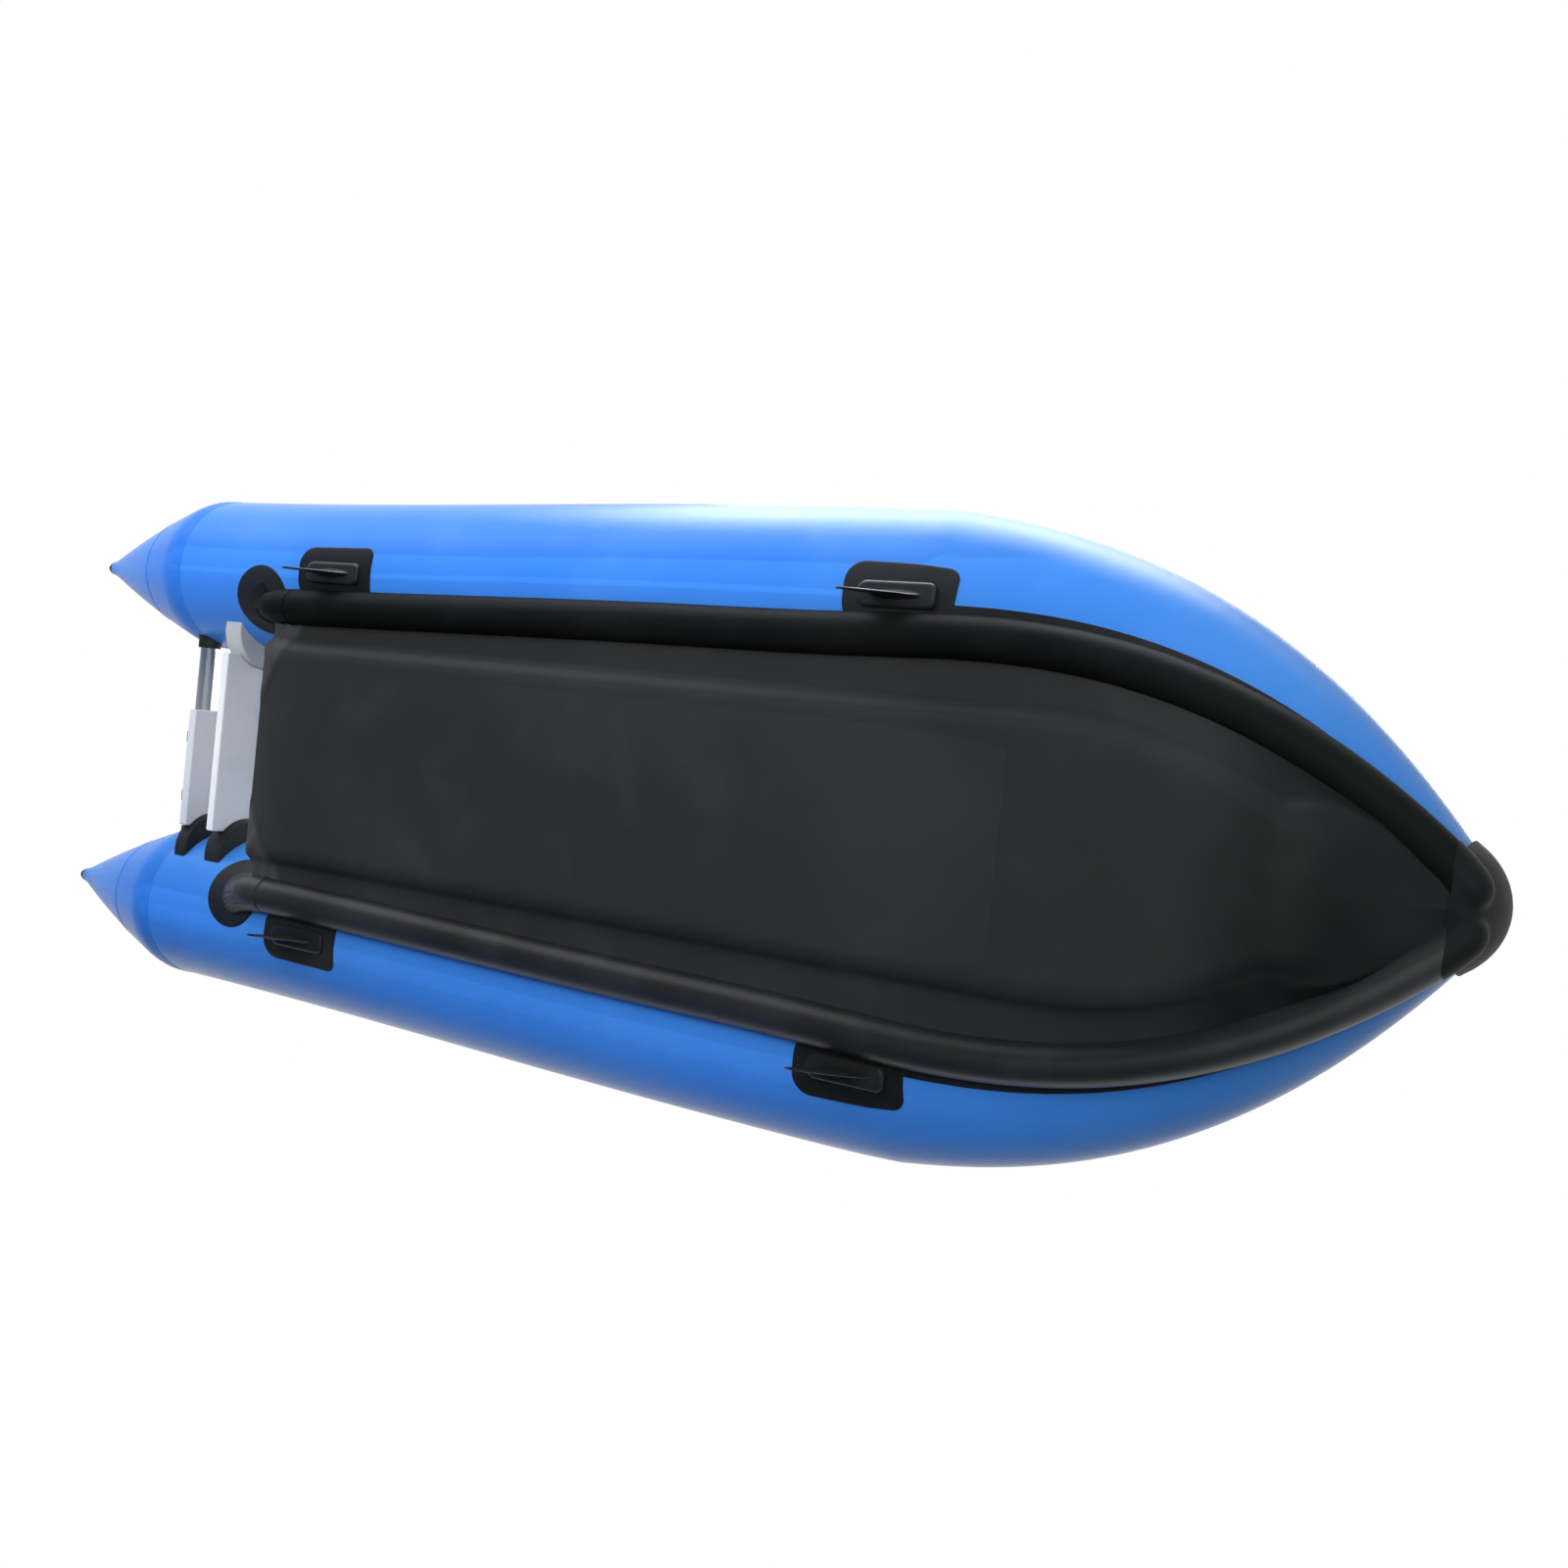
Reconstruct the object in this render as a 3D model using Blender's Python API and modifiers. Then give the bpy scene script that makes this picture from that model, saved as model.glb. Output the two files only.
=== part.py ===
# Inflatable twin-tube fishing kayak: two air tubes with conical sterns that meet at the bow,
# two small keel tubes, a black bottom skin pulled over a flat air deck, four swept fins,
# a stern board and a motor plate on a steel cross tube, with valves, rings and handles on top.
# Frame: +X to the bow, +Y to port, +Z up; metres. The origin is at half length on the middle
# plane, at the level of the fin tips. Stations along the boat run from the stern end of the
# air tubes, and those of the bow are shares of its length.
import bpy
import bmesh
import math
import numpy as np
from mathutils import Matrix, Vector

# fit between pieces and thickness of sheet patches
GAP = 0.0004
WELD_DISTANCE = 0.00001
SCREW_MERGE = 0.00001
SLOPE_STEP = 0.002
PATCH_THICKNESS = 0.002
FAT_OVERRUN = 0.05
PATCH_INNER_REACH = 0.05
PATCH_OUTER_REACH = 0.03

# hull tubes: a long part that swells a little, then a bow that bends in, tapers and rises
TUBE_RADIUS = 0.165
TUBE_BOW_RADIUS = 0.112
STERN_HALF_SPACING = 0.370
MID_HALF_SPACING = 0.394
SWELL_START = 0.05
PARALLEL_LENGTH = 1.683
BOW_LENGTH = 0.960
BOW_CURVE_POWER = 2.92
TAPER_START_SHARE = 0.195
TAPER_POWER = 0.9
BOW_RISE = 0.060
RISE_START_SHARE = 0.257
RISE_POWER = 1.5
TUBE_OVERREACH = 0.036
TUBE_SIDES_STEP = 10
HULL_STATIONS = 6
BOW_STATIONS = 15

# fins and their patches
FIN_AFT_SHARE = 0.3024
FIN_FORE_SHARE = 0.149
FIN_PATCH_LENGTH = 0.208
FIN_PATCH_WIDTH = 0.108
FIN_PATCH_FORE_CORNER = 0.020
FIN_PATCH_AFT_CORNER = 0.036
FIN_PLINTH_LENGTH = 0.150
FIN_PLINTH_WIDTH = 0.044
FIN_PLINTH_HEIGHT = 0.011
FIN_PLINTH_ROOT = 0.020
FIN_PLINTH_FORE_CORNER = 0.014
FIN_PLINTH_AFT_CORNER = 0.021
FIN_PLINTH_EDGE = 0.005
FIN_BASE_AFT = -0.046
FIN_BASE_FORE = 0.062
FIN_TIP_X = -0.074
FIN_REACH = 0.0725
FIN_TIP_WORN = 0.00034
FIN_LEAD_POWER = 0.92
FIN_BACK_POWER = 0.9
FIN_BLADE_THICKNESS = 0.009
FIN_BLADE_EDGE = 0.003

# stern cones
CONE_LENGTH = 0.420
CONE_LIP = 0.012
CONE_BULGE = 0.006
CONE_STRAIGHT_SHARE = 0.955
CONE_STEPS = 5
CONE_TIP_RADIUS = 0.013
CONE_SIDES = 24
TIP_CAP_LENGTH = 0.022
TIP_CAP_RADIUS = 0.0145
TIP_CAP_NOSE_RADIUS = 0.006
TIP_CAP_RIM = 0.004
TIP_CAP_SIDES = 16

# keel tubes
KEEL_RADIUS = 0.037
KEEL_BOW_RADIUS = 0.029
KEEL_SEAT = 0.018
KEEL_BOW_SEAT = 0.022
KEEL_ANGLE = math.radians(23.5)
KEEL_BOW_TURN = math.radians(68.0)
KEEL_TURN_BEFORE_BOW = 0.233
KEEL_TURN_POWER = 2.87
KEEL_START = 0.326
KEEL_OVERREACH = 0.009
KEEL_NECK_LENGTH = 0.055
KEEL_NECK_RADIUS = 0.028
KEEL_NECK_STEPS = (0.0, 0.3, 0.65)
KEEL_PATCH_RADIUS = 0.080
KEEL_PATCH_X = 0.290
KEEL_SIDES_STEP = 3
KEEL_STATIONS = 9
KEEL_BOW_STATIONS = 12

# air deck
DECK_START = 0.385
DECK_THICKNESS = 0.090
DECK_UNDER_TUBES = 0.0326
DECK_HALF_WIDTH = 0.190
DECK_FRONT_HALF_WIDTH = 0.090
DECK_NARROW_SHARE = 0.434
DECK_FRONT_SHARE = 0.804
DECK_NARROW_POWER = 2.4
DECK_RISE_SHARE = 0.92
DECK_AFT_EDGE = ((0.0, 0.030), (0.010, 0.008), (0.030, 0.0))
DECK_FORE_EDGE = ((0.022, 0.008), (0.006, 0.022), (0.0, 0.040))
DECK_THIN_SHARE = 0.55
DECK_FIRST_BAY = 0.25
DECK_LAST_BAY = 0.045

# bottom skin
SKIN_THICKNESS = 0.002
SKIN_AHEAD_OF_DECK = 0.020
SKIN_FIRST_BAY = 0.12
SKIN_WRAP = math.radians(62.0)
SKIN_EDGE_SHARE = 0.55
SKIN_VALLEY_SHARE = 0.35
SKIN_BOW_HOLLOW = 0.010
SKIN_BOW_SAG = 0.012
SKIN_STEP_LENGTH = 0.075
SKIN_STEP_BACK = 0.005
SKIN_OVERREACH = 0.005

# nose cap
NOSE_AHEAD = 0.053
NOSE_WALL = 0.006
NOSE_LENGTH = 0.132
NOSE_HALF_WIDTH = 0.119
NOSE_UPPER_HEIGHT = 0.119
NOSE_LOWER_HEIGHT = 0.160
NOSE_SEGMENTS = 24
NOSE_RINGS = 16

# stern board, motor plate and their rubber pads
BOARD_X = 0.168
BOARD_THICKNESS = 0.020
BOARD_LOW = -0.138
BOARD_HIGH = 0.100
BOARD_END_GAP = 0.011
BOARD_EDGE = 0.003
PAD_RADIUS = 0.080
PAD_STANDOFF = 0.044
PAD_DROP = 0.045
PAD_LENGTH = 0.050
PAD_EDGE = 0.004
PAD_SIDES = 32
PLATE_X = 0.055
PLATE_PAD_X = 0.061
PLATE_PAD_LENGTH = 0.036
PLATE_THICKNESS = 0.022
PLATE_LOW = -0.119
PLATE_HIGH = 0.150
PLATE_INNER_END = -0.062

# steel cross tube, its sockets and the clamps
CROSS_TUBE_RADIUS = 0.019
CROSS_TUBE_X = 0.0172
CROSS_TUBE_Z = -0.060
CROSS_SIDES = 28
SOCKET_RADIUS = 0.024
SOCKET_THICKNESS = 0.016
SOCKET_DEPTH = 0.009
SOCKET_ROOT = 0.02
SOCKET_EDGE = 0.002
CLAMP_WIDTH = 0.024
CLAMP_Y = (0.0, 0.130)
CLAMP_WALL = 0.007
CLAMP_FLANGE = 0.012

# air valves
VALVE_FLANGE_RADIUS = 0.030
VALVE_FLANGE_HEIGHT = 0.004
VALVE_FLANGE_EDGE = 0.002
VALVE_ROOT = 0.010
VALVE_COLLAR_RADIUS = 0.020
VALVE_COLLAR_HEIGHT = 0.016
VALVE_BORE_RADIUS = 0.0135
VALVE_BORE_DEPTH = 0.0075
VALVE_GUIDE_FLOOR = 0.0014
VALVE_STEM_RADIUS = 0.0035
VALVE_STEM_LENGTH = 0.0063
VALVE_HEAD_RADIUS = 0.0075
VALVE_HEAD_THICKNESS = 0.0025
VALVE_HEAD_EDGE = 0.001
VALVE_STROKE = 0.004
VALVE_CAP_WALL = 0.0026
VALVE_CAP_TOP = 0.0030
VALVE_CAP_EDGE = 0.0015
VALVE_WING_SHARE = 0.72
VALVE_WING_THICKNESS = 0.0044
VALVE_WING_HEIGHT = 0.006
VALVE_WING_ROOT = 0.001
VALVE_SIDES = 24
VALVE_STATION_SHARE = 0.3684
VALVE_ANGLE = math.radians(38.0)
DECK_VALVE_X = 0.060

# D-rings on their patches
RING_AFT_SHARE = 0.4872
RING_MIDDLE_SHARE = 0.8913
RING_FORE_SHARE = 0.497
RING_ANGLE = math.radians(52.0)
RING_PATCH_RADIUS = 0.048
RING_PATCH_SIDES = 20
RING_WIRE_RADIUS = 0.0028
RING_HALF_WIDTH = 0.020
RING_DEPTH = 0.030
RING_ROUND_POWER = 0.7
RING_LOOP_LENGTH = 0.024
RING_LOOP_WALL = 0.0025
RING_LOOP_SIDES = 14
RING_FOOT_LOW = -0.006
RING_FOOT_SPREAD = 1.9
RING_FOOT_TOP_SHARE = 0.2
RING_FREE_HEIGHT = 0.0024
RING_LEAN = math.radians(90.0)

# carry handles
HANDLE_SHARE = 0.689
HANDLE_SPAN = 0.150
HANDLE_RISE = 0.042
HANDLE_SINK = 0.004
HANDLE_ROOT = 0.016
HANDLE_GRIP_RADIUS = 0.009
HANDLE_ROUND_POWER = 4
HANDLE_STEPS = 12
HANDLE_PATCH_LENGTH = 0.215
HANDLE_PATCH_WIDTH = 0.085
HANDLE_PATCH_CORNER = 0.030

# places that follow from the sizes
BOW_END = PARALLEL_LENGTH + BOW_LENGTH
TUBE_AXIS_HEIGHT = TUBE_RADIUS + FIN_REACH - FIN_TIP_WORN
STERN_TIP = GAP + CONE_LENGTH + GAP + TIP_CAP_LENGTH
STERN_X = (STERN_TIP - BOW_END - NOSE_LENGTH) / 2
TAPER_START = PARALLEL_LENGTH + TAPER_START_SHARE * BOW_LENGTH
RISE_START = PARALLEL_LENGTH + RISE_START_SHARE * BOW_LENGTH
KEEL_TURN_START = PARALLEL_LENGTH - KEEL_TURN_BEFORE_BOW
KEEL_END = BOW_END + KEEL_OVERREACH
DECK_BOTTOM = -TUBE_RADIUS - DECK_UNDER_TUBES
DECK_NARROW_START = PARALLEL_LENGTH + DECK_NARROW_SHARE * BOW_LENGTH
DECK_FRONT = PARALLEL_LENGTH + DECK_FRONT_SHARE * BOW_LENGTH
SKIN_START = DECK_START - SKIN_AHEAD_OF_DECK
SKIN_END = BOW_END + SKIN_OVERREACH
NOSE_CAP_START = BOW_END + NOSE_AHEAD
BOARD_HALF_LENGTH = STERN_HALF_SPACING - TUBE_RADIUS - BOARD_END_GAP
FIN_STATIONS = (FIN_AFT_SHARE * PARALLEL_LENGTH, PARALLEL_LENGTH + FIN_FORE_SHARE * BOW_LENGTH)
VALVE_STATION = VALVE_STATION_SHARE * PARALLEL_LENGTH
RING_STATIONS = (RING_AFT_SHARE * PARALLEL_LENGTH, RING_MIDDLE_SHARE * PARALLEL_LENGTH)
RING_STATIONS += (PARALLEL_LENGTH + RING_FORE_SHARE * BOW_LENGTH,)
HANDLE_STATION = HANDLE_SHARE * PARALLEL_LENGTH

BLUE = (0.045, 0.235, 0.78)
BLACK = (0.018, 0.020, 0.020)
GREY = (0.42, 0.48, 0.53)
LILAC_GREY = (0.50, 0.53, 0.60)
STEEL = (0.60, 0.61, 0.62)
PALE = (0.72, 0.73, 0.74)
SHARP_ANGLE = math.radians(35.0)
BEVEL_ANGLE = math.radians(40.0)


def collection(name):
    group = bpy.data.collections.new(name)
    bpy.context.scene.collection.children.link(group)
    return group


for old in list(bpy.data.objects):
    bpy.data.objects.remove(old, do_unlink=True)

KAYAK = collection("fishing_kayak")
CUTTERS = collection("cutters")


def material(name, colour, roughness, metallic=0.0):
    mat = bpy.data.materials.new(name)
    mat.use_nodes = True
    shader = mat.node_tree.nodes["Principled BSDF"]
    shader.inputs["Base Color"].default_value = (*colour, 1.0)
    shader.inputs["Roughness"].default_value = roughness
    shader.inputs["Metallic"].default_value = metallic
    mat.diffuse_color = (*colour, 1.0)
    return mat


def place(obj, group, colour, roughness, metallic=0.0):
    for user in list(obj.users_collection):
        user.objects.unlink(obj)
    group.objects.link(obj)
    obj.data.materials.clear()
    if group == CUTTERS:
        obj.hide_render = True
        obj.display_type = "WIRE"
    else:
        obj.data.materials.append(material(obj.name + "_look", colour, roughness, metallic))
        for face in obj.data.polygons:
            face.use_smooth = True
        obj.data.set_sharp_from_angle(angle=SHARP_ANGLE)
    return obj


def part(obj, colour, roughness=0.45, metallic=0.0):
    return place(obj, KAYAK, colour, roughness, metallic)


def cutter(obj):
    return place(obj, CUTTERS, BLACK, 0.5)


def mesh_object(name, mesh_builder):
    mesh = bmesh.new()
    mesh_builder(mesh)
    bmesh.ops.recalc_face_normals(mesh, faces=mesh.faces)
    data = bpy.data.meshes.new(name)
    mesh.to_mesh(data)
    mesh.free()
    return bpy.data.objects.new(name, data)


def finished(obj, name=None):
    """The object with its modifiers worked in, as a plain welded mesh."""
    if not obj.users_collection:
        bpy.context.scene.collection.objects.link(obj)
    graph = bpy.context.evaluated_depsgraph_get()
    data = bpy.data.meshes.new_from_object(obj.evaluated_get(graph))
    label = name or obj.name
    matrix = obj.matrix_world.copy()
    bpy.data.objects.remove(obj, do_unlink=True)
    welded = bmesh.new()
    welded.from_mesh(data)
    bmesh.ops.remove_doubles(welded, verts=welded.verts, dist=WELD_DISTANCE)
    bmesh.ops.recalc_face_normals(welded, faces=welded.faces)
    welded.to_mesh(data)
    welded.free()
    result = bpy.data.objects.new(label, data)
    data.name = label
    bpy.context.scene.collection.objects.link(result)
    result.matrix_world = matrix
    return result


def boolean(obj, other, operation):
    step = obj.modifiers.new(operation.lower() + "_" + other.name, "BOOLEAN")
    step.operation = operation
    step.solver = "EXACT"
    step.object = other
    return obj


def settled(obj, matrix):
    """Sets a new object's place and brings its matrix up to date."""
    obj.matrix_world = matrix
    bpy.context.view_layer.update()
    return obj


def moved(obj, x, y, z):
    return settled(obj, Matrix.Translation((x, y, z)))


def baked(obj):
    """Works the object's place into its mesh."""
    obj.data.transform(obj.matrix_world)
    return settled(obj, Matrix.Identity(4))


def mirrored(obj, name):
    """The same piece on the other side of the boat, its place mirrored in the middle plane."""
    flip = Matrix.Scale(-1.0, 4, (0.0, 1.0, 0.0))
    data = obj.data.copy()
    data.transform(flip)
    data.flip_normals()
    twin = settled(bpy.data.objects.new(name, data), flip @ obj.matrix_world @ flip)
    look = data.materials[0]
    colour = tuple(look.diffuse_color)[:3]
    shader = look.node_tree.nodes["Principled BSDF"]
    roughness = shader.inputs["Roughness"].default_value
    return part(twin, colour, roughness, shader.inputs["Metallic"].default_value)


def path_tube(name, points, radii, sides_step, closed=False):
    """A round tube along points, with a radius at each point."""
    curve = bpy.data.curves.new(name, "CURVE")
    curve.dimensions = "3D"
    curve.twist_mode = "MINIMUM" if closed else "Z_UP"
    curve.bevel_depth = 1.0
    curve.bevel_resolution = sides_step
    curve.use_fill_caps = not closed
    spline = curve.splines.new("POLY")
    spline.points.add(len(points) - 1)
    for knot, point, radius in zip(spline.points, points, radii):
        knot.co = (*point, 1.0)
        knot.radius = radius
    spline.use_cyclic_u = closed
    return finished(bpy.data.objects.new(name, curve))


def turned(name, profile, steps):
    """A solid turned about Z from a profile that starts and ends on the axis."""
    data = bpy.data.meshes.new(name)
    data.from_pydata([(r, 0.0, z) for r, z in profile], [(i, i + 1) for i in range(len(profile) - 1)], [])
    obj = bpy.data.objects.new(name, data)
    screw = obj.modifiers.new("turn", "SCREW")
    screw.steps = steps
    screw.render_steps = steps
    screw.use_merge_vertices = True
    screw.merge_threshold = SCREW_MERGE
    return finished(obj)


def rod(name, radius, half_length, sides, axis):
    """A plain round rod centred on the origin, laid along an axis."""
    ends = [(0.0, half_length), (radius, half_length), (radius, -half_length), (0.0, -half_length)]
    lay = {"X": Matrix.Rotation(math.pi / 2, 4, "Y"), "Y": Matrix.Rotation(math.pi / 2, 4, "X")}
    return baked(settled(turned(name, ends, sides), lay[axis]))


def prism(name, outline, low, high):
    """An outline in the XY plane, raised from low to high."""
    def build(mesh):
        base = [mesh.verts.new((x, y, low)) for x, y in outline]
        face = mesh.faces.new(base)
        raised = bmesh.ops.extrude_face_region(mesh, geom=[face])
        tops = [v for v in raised["geom"] if isinstance(v, bmesh.types.BMVert)]
        bmesh.ops.translate(mesh, verts=tops, vec=(0.0, 0.0, high - low))
    return mesh_object(name, build)


def box(name, low, high):
    outline = [(low[0], low[1]), (high[0], low[1]), (high[0], high[1]), (low[0], high[1])]
    return prism(name, outline, low[2], high[2])


def bevelled(obj, width, segments=2):
    step = obj.modifiers.new("edge", "BEVEL")
    step.width = width
    step.segments = segments
    step.limit_method = "ANGLE"
    step.angle_limit = BEVEL_ANGLE
    return obj


def rounded_outline(length, width, fore_corner, aft_corner, steps=4):
    """A rectangle round the origin with its own corner radius at each end."""
    corners = (
        (length / 2 - fore_corner, width / 2 - fore_corner, fore_corner, 0.0),
        (-length / 2 + aft_corner, width / 2 - aft_corner, aft_corner, 90.0),
        (-length / 2 + aft_corner, -width / 2 + aft_corner, aft_corner, 180.0),
        (length / 2 - fore_corner, -width / 2 + fore_corner, fore_corner, 270.0),
    )
    points = []
    for cx, cy, radius, start in corners:
        for k in range(steps + 1):
            turn = math.radians(start + 90.0 * k / steps)
            points.append((cx + radius * math.cos(turn), cy + radius * math.sin(turn)))
    return points


def disc_outline(radius, count):
    turns = [2 * math.pi * k / count for k in range(count)]
    return [(radius * math.cos(turn), radius * math.sin(turn)) for turn in turns]


def spread(start, end, count):
    return [float(x) for x in np.linspace(start, end, count)]


# lines of the hull that every piece follows
def share(x, start, end):
    """How far x has come from start to end, held between none and all."""
    return min(max((x - start) / (end - start), 0.0), 1.0)


def half_spacing(x):
    swell = (1.0 - math.cos(math.pi * share(x, SWELL_START, PARALLEL_LENGTH))) / 2.0
    wide = STERN_HALF_SPACING + (MID_HALF_SPACING - STERN_HALF_SPACING) * swell
    bend = max((x - PARALLEL_LENGTH) / BOW_LENGTH, 0.0)
    return wide * (1.0 - bend ** BOW_CURVE_POWER)


def rise(x):
    return BOW_RISE * max((x - RISE_START) / (BOW_END - RISE_START), 0.0) ** RISE_POWER


def tube_radius(x):
    taper = share(x, TAPER_START, BOW_END) ** TAPER_POWER
    return TUBE_RADIUS - (TUBE_RADIUS - TUBE_BOW_RADIUS) * taper


def tube_axis(x, side):
    return Vector((STERN_X + x, side * half_spacing(x), TUBE_AXIS_HEIGHT + rise(x)))


def tube_frame(x, side):
    """Axis point, direction along the tube, direction outboard and direction up at a station."""
    along = (tube_axis(x + SLOPE_STEP, side) - tube_axis(x - SLOPE_STEP, side)).normalized()
    up = Vector((0.0, 0.0, 1.0))
    up = (up - along * up.dot(along)).normalized()
    outboard = along.cross(up) * (-side)
    return tube_axis(x, side), along, outboard.normalized(), up


def surface_matrix(x, side, angle):
    """Frame on the hull tube: X along it, Z straight out. The angle runs from straight down,
    positive to outboard, so a half turn is the top of the tube."""
    axis, along, outboard, up = tube_frame(x, side)
    out = (outboard * math.sin(angle) - up * math.cos(angle)).normalized()
    across = out.cross(along).normalized()
    place_at = axis + out * tube_radius(x)
    rows = Matrix((along, across, out)).transposed().to_4x4()
    return Matrix.Translation(place_at) @ rows


# hull tubes: each runs to the middle plane at the bow and is cut flat there
HULL_X = [0.0] + spread(SWELL_START, PARALLEL_LENGTH, HULL_STATIONS)
HULL_X += spread(PARALLEL_LENGTH, BOW_END, BOW_STATIONS)[1:]
SIDES = (("port", 1), ("starboard", -1))


def hull_tube(name, side, extra):
    points = [tube_axis(x, side) for x in HULL_X]
    radii = [tube_radius(x) + extra for x in HULL_X]
    points.append(points[-1] + (points[-1] - points[-2]).normalized() * (TUBE_OVERREACH + extra))
    radii.append(radii[-1])
    if extra > 0.0:
        points.insert(0, points[0] - Vector((FAT_OVERRUN, 0.0, 0.0)))
        radii.insert(0, radii[0])
    return path_tube(name, points, radii, TUBE_SIDES_STEP)


# fattened tubes that trim whatever is seated on the real ones
FAT = {}
LAYERS = {"gap": GAP, "half": GAP + PATCH_THICKNESS / 2, "patch": GAP + PATCH_THICKNESS}
LAYERS["over"] = LAYERS["patch"] + GAP
for label, side in SIDES:
    for kind, extra in LAYERS.items():
        FAT[label, kind] = cutter(hull_tube(label + "_tube_" + kind, side, extra))

for label, side in SIDES:
    wide = 2.0 * BOW_END
    low, high = (GAP / 2, wide) if side > 0 else (-wide, -GAP / 2)
    keep = cutter(box(label + "_half_space", (-wide, low, -wide), (wide, high, wide)))
    tube = hull_tube(label + "_tube", side, 0.0)
    boolean(tube, keep, "INTERSECT")
    part(finished(tube), BLUE, 0.35)

# stern cones: a short lip, then a straight cone with a slight belly, closed by a rubber tip cap
for label, side in SIDES:
    profile = [(0.0, 0.0), (CONE_TIP_RADIUS, 0.0)]
    for k in range(1, CONE_STEPS):
        t = k / CONE_STEPS
        straight = CONE_TIP_RADIUS + (TUBE_RADIUS - CONE_TIP_RADIUS) * t
        belly = CONE_BULGE * math.sin(math.pi * t)
        profile.append((straight + belly, -CONE_LENGTH * CONE_STRAIGHT_SHARE * t))
    profile += [(TUBE_RADIUS, -CONE_LENGTH + CONE_LIP), (TUBE_RADIUS, -CONE_LENGTH), (0.0, -CONE_LENGTH)]
    cone = turned(label + "_stern_cone", profile, CONE_SIDES)
    lay = Matrix.Rotation(-math.pi / 2, 4, "Y")
    base = Vector((STERN_X - GAP - CONE_LENGTH, side * STERN_HALF_SPACING, TUBE_AXIS_HEIGHT))
    part(settled(cone, Matrix.Translation(base) @ lay), BLUE, 0.35)
    profile = [(0.0, TIP_CAP_LENGTH), (TIP_CAP_NOSE_RADIUS, TIP_CAP_LENGTH)]
    profile += [(TIP_CAP_RADIUS, TIP_CAP_RIM), (TIP_CAP_RADIUS, 0.0), (0.0, 0.0)]
    tip = bevelled(turned(label + "_cone_tip_cap", profile, TIP_CAP_SIDES), VALVE_CAP_EDGE)
    settled(tip, Matrix.Translation(base - Vector((GAP, 0.0, 0.0))) @ lay)
    part(finished(tip), BLACK, 0.6)


# keel tubes: carried low on the inner side of each hull tube, swinging outboard at the bow
def keel_swing(x):
    return share(x, KEEL_TURN_START, BOW_END) ** KEEL_TURN_POWER


def keel_point(x, side):
    swing = keel_swing(x)
    angle = KEEL_ANGLE - KEEL_BOW_TURN * swing
    seat = KEEL_SEAT + (KEEL_BOW_SEAT - KEEL_SEAT) * swing
    axis, along, outboard, up = tube_frame(x, side)
    reach = tube_radius(x) + seat
    return axis - outboard * (reach * math.sin(angle)) - up * (reach * math.cos(angle))


def keel_radius(x):
    full = KEEL_RADIUS + (KEEL_BOW_RADIUS - KEEL_RADIUS) * keel_swing(x)
    neck = share(x, KEEL_START, KEEL_START + KEEL_NECK_LENGTH)
    return KEEL_NECK_RADIUS + (full - KEEL_NECK_RADIUS) * math.sin(math.pi / 2 * neck)


KEEL_X = [KEEL_START + KEEL_NECK_LENGTH * step for step in KEEL_NECK_STEPS]
KEEL_X += spread(KEEL_START + KEEL_NECK_LENGTH, PARALLEL_LENGTH, KEEL_STATIONS)
KEEL_X += spread(PARALLEL_LENGTH, KEEL_END, KEEL_BOW_STATIONS)[1:]


def keel_tube(name, side, extra):
    points = [keel_point(x, side) for x in KEEL_X]
    radii = [keel_radius(x) + extra for x in KEEL_X]
    if extra > 0.0:
        points[0] = points[0] - (points[1] - points[0]).normalized() * extra
        points[-1] = points[-1] + (points[-1] - points[-2]).normalized() * extra
    return path_tube(name, points, radii, KEEL_SIDES_STEP)


for label, side in SIDES:
    FAT[label, "keel"] = cutter(keel_tube(label + "_keel_gap", side, GAP))
    tube = keel_tube(label + "_keel_tube", side, 0.0)
    boolean(tube, FAT[label, "gap"], "DIFFERENCE")
    part(finished(tube), BLACK, 0.42)


def tube_patch(name, outline, label, side, x, angle):
    """A sheet patch bonded to the hull tube, following its curve and stopping at the keel tube."""
    patch = prism(name, outline, -PATCH_INNER_REACH, PATCH_OUTER_REACH)
    settled(patch, surface_matrix(x, side, angle))
    boolean(patch, FAT[label, "patch"], "INTERSECT")
    boolean(patch, FAT[label, "gap"], "DIFFERENCE")
    boolean(patch, FAT[label, "keel"], "DIFFERENCE")
    return finished(patch)


# round patches where the keel tubes start
for label, side in SIDES:
    disc = disc_outline(KEEL_PATCH_RADIUS, CONE_SIDES)
    part(tube_patch(label + "_keel_end_patch", disc, label, side, KEEL_PATCH_X, -KEEL_ANGLE), BLACK, 0.5)


# fins: a rounded patch under each hull tube, a moulded plinth and a swept blade
def fin_blade_outline():
    lead = [(FIN_BASE_FORE, 0.0)]
    for k in range(1, 6):
        t = k / 5
        reach = FIN_REACH * math.sin(math.pi / 2 * t ** FIN_LEAD_POWER)
        lead.append((FIN_BASE_FORE + (FIN_TIP_X - FIN_BASE_FORE) * t, reach))
    back = []
    for k in range(1, 5):
        t = k / 5
        along = FIN_TIP_X + (FIN_BASE_AFT - FIN_TIP_X) * math.sin(math.pi / 2 * t)
        back.append((along, FIN_REACH * (1.0 - t) ** FIN_BACK_POWER))
    return lead + back + [(FIN_BASE_AFT, 0.0)]


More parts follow.
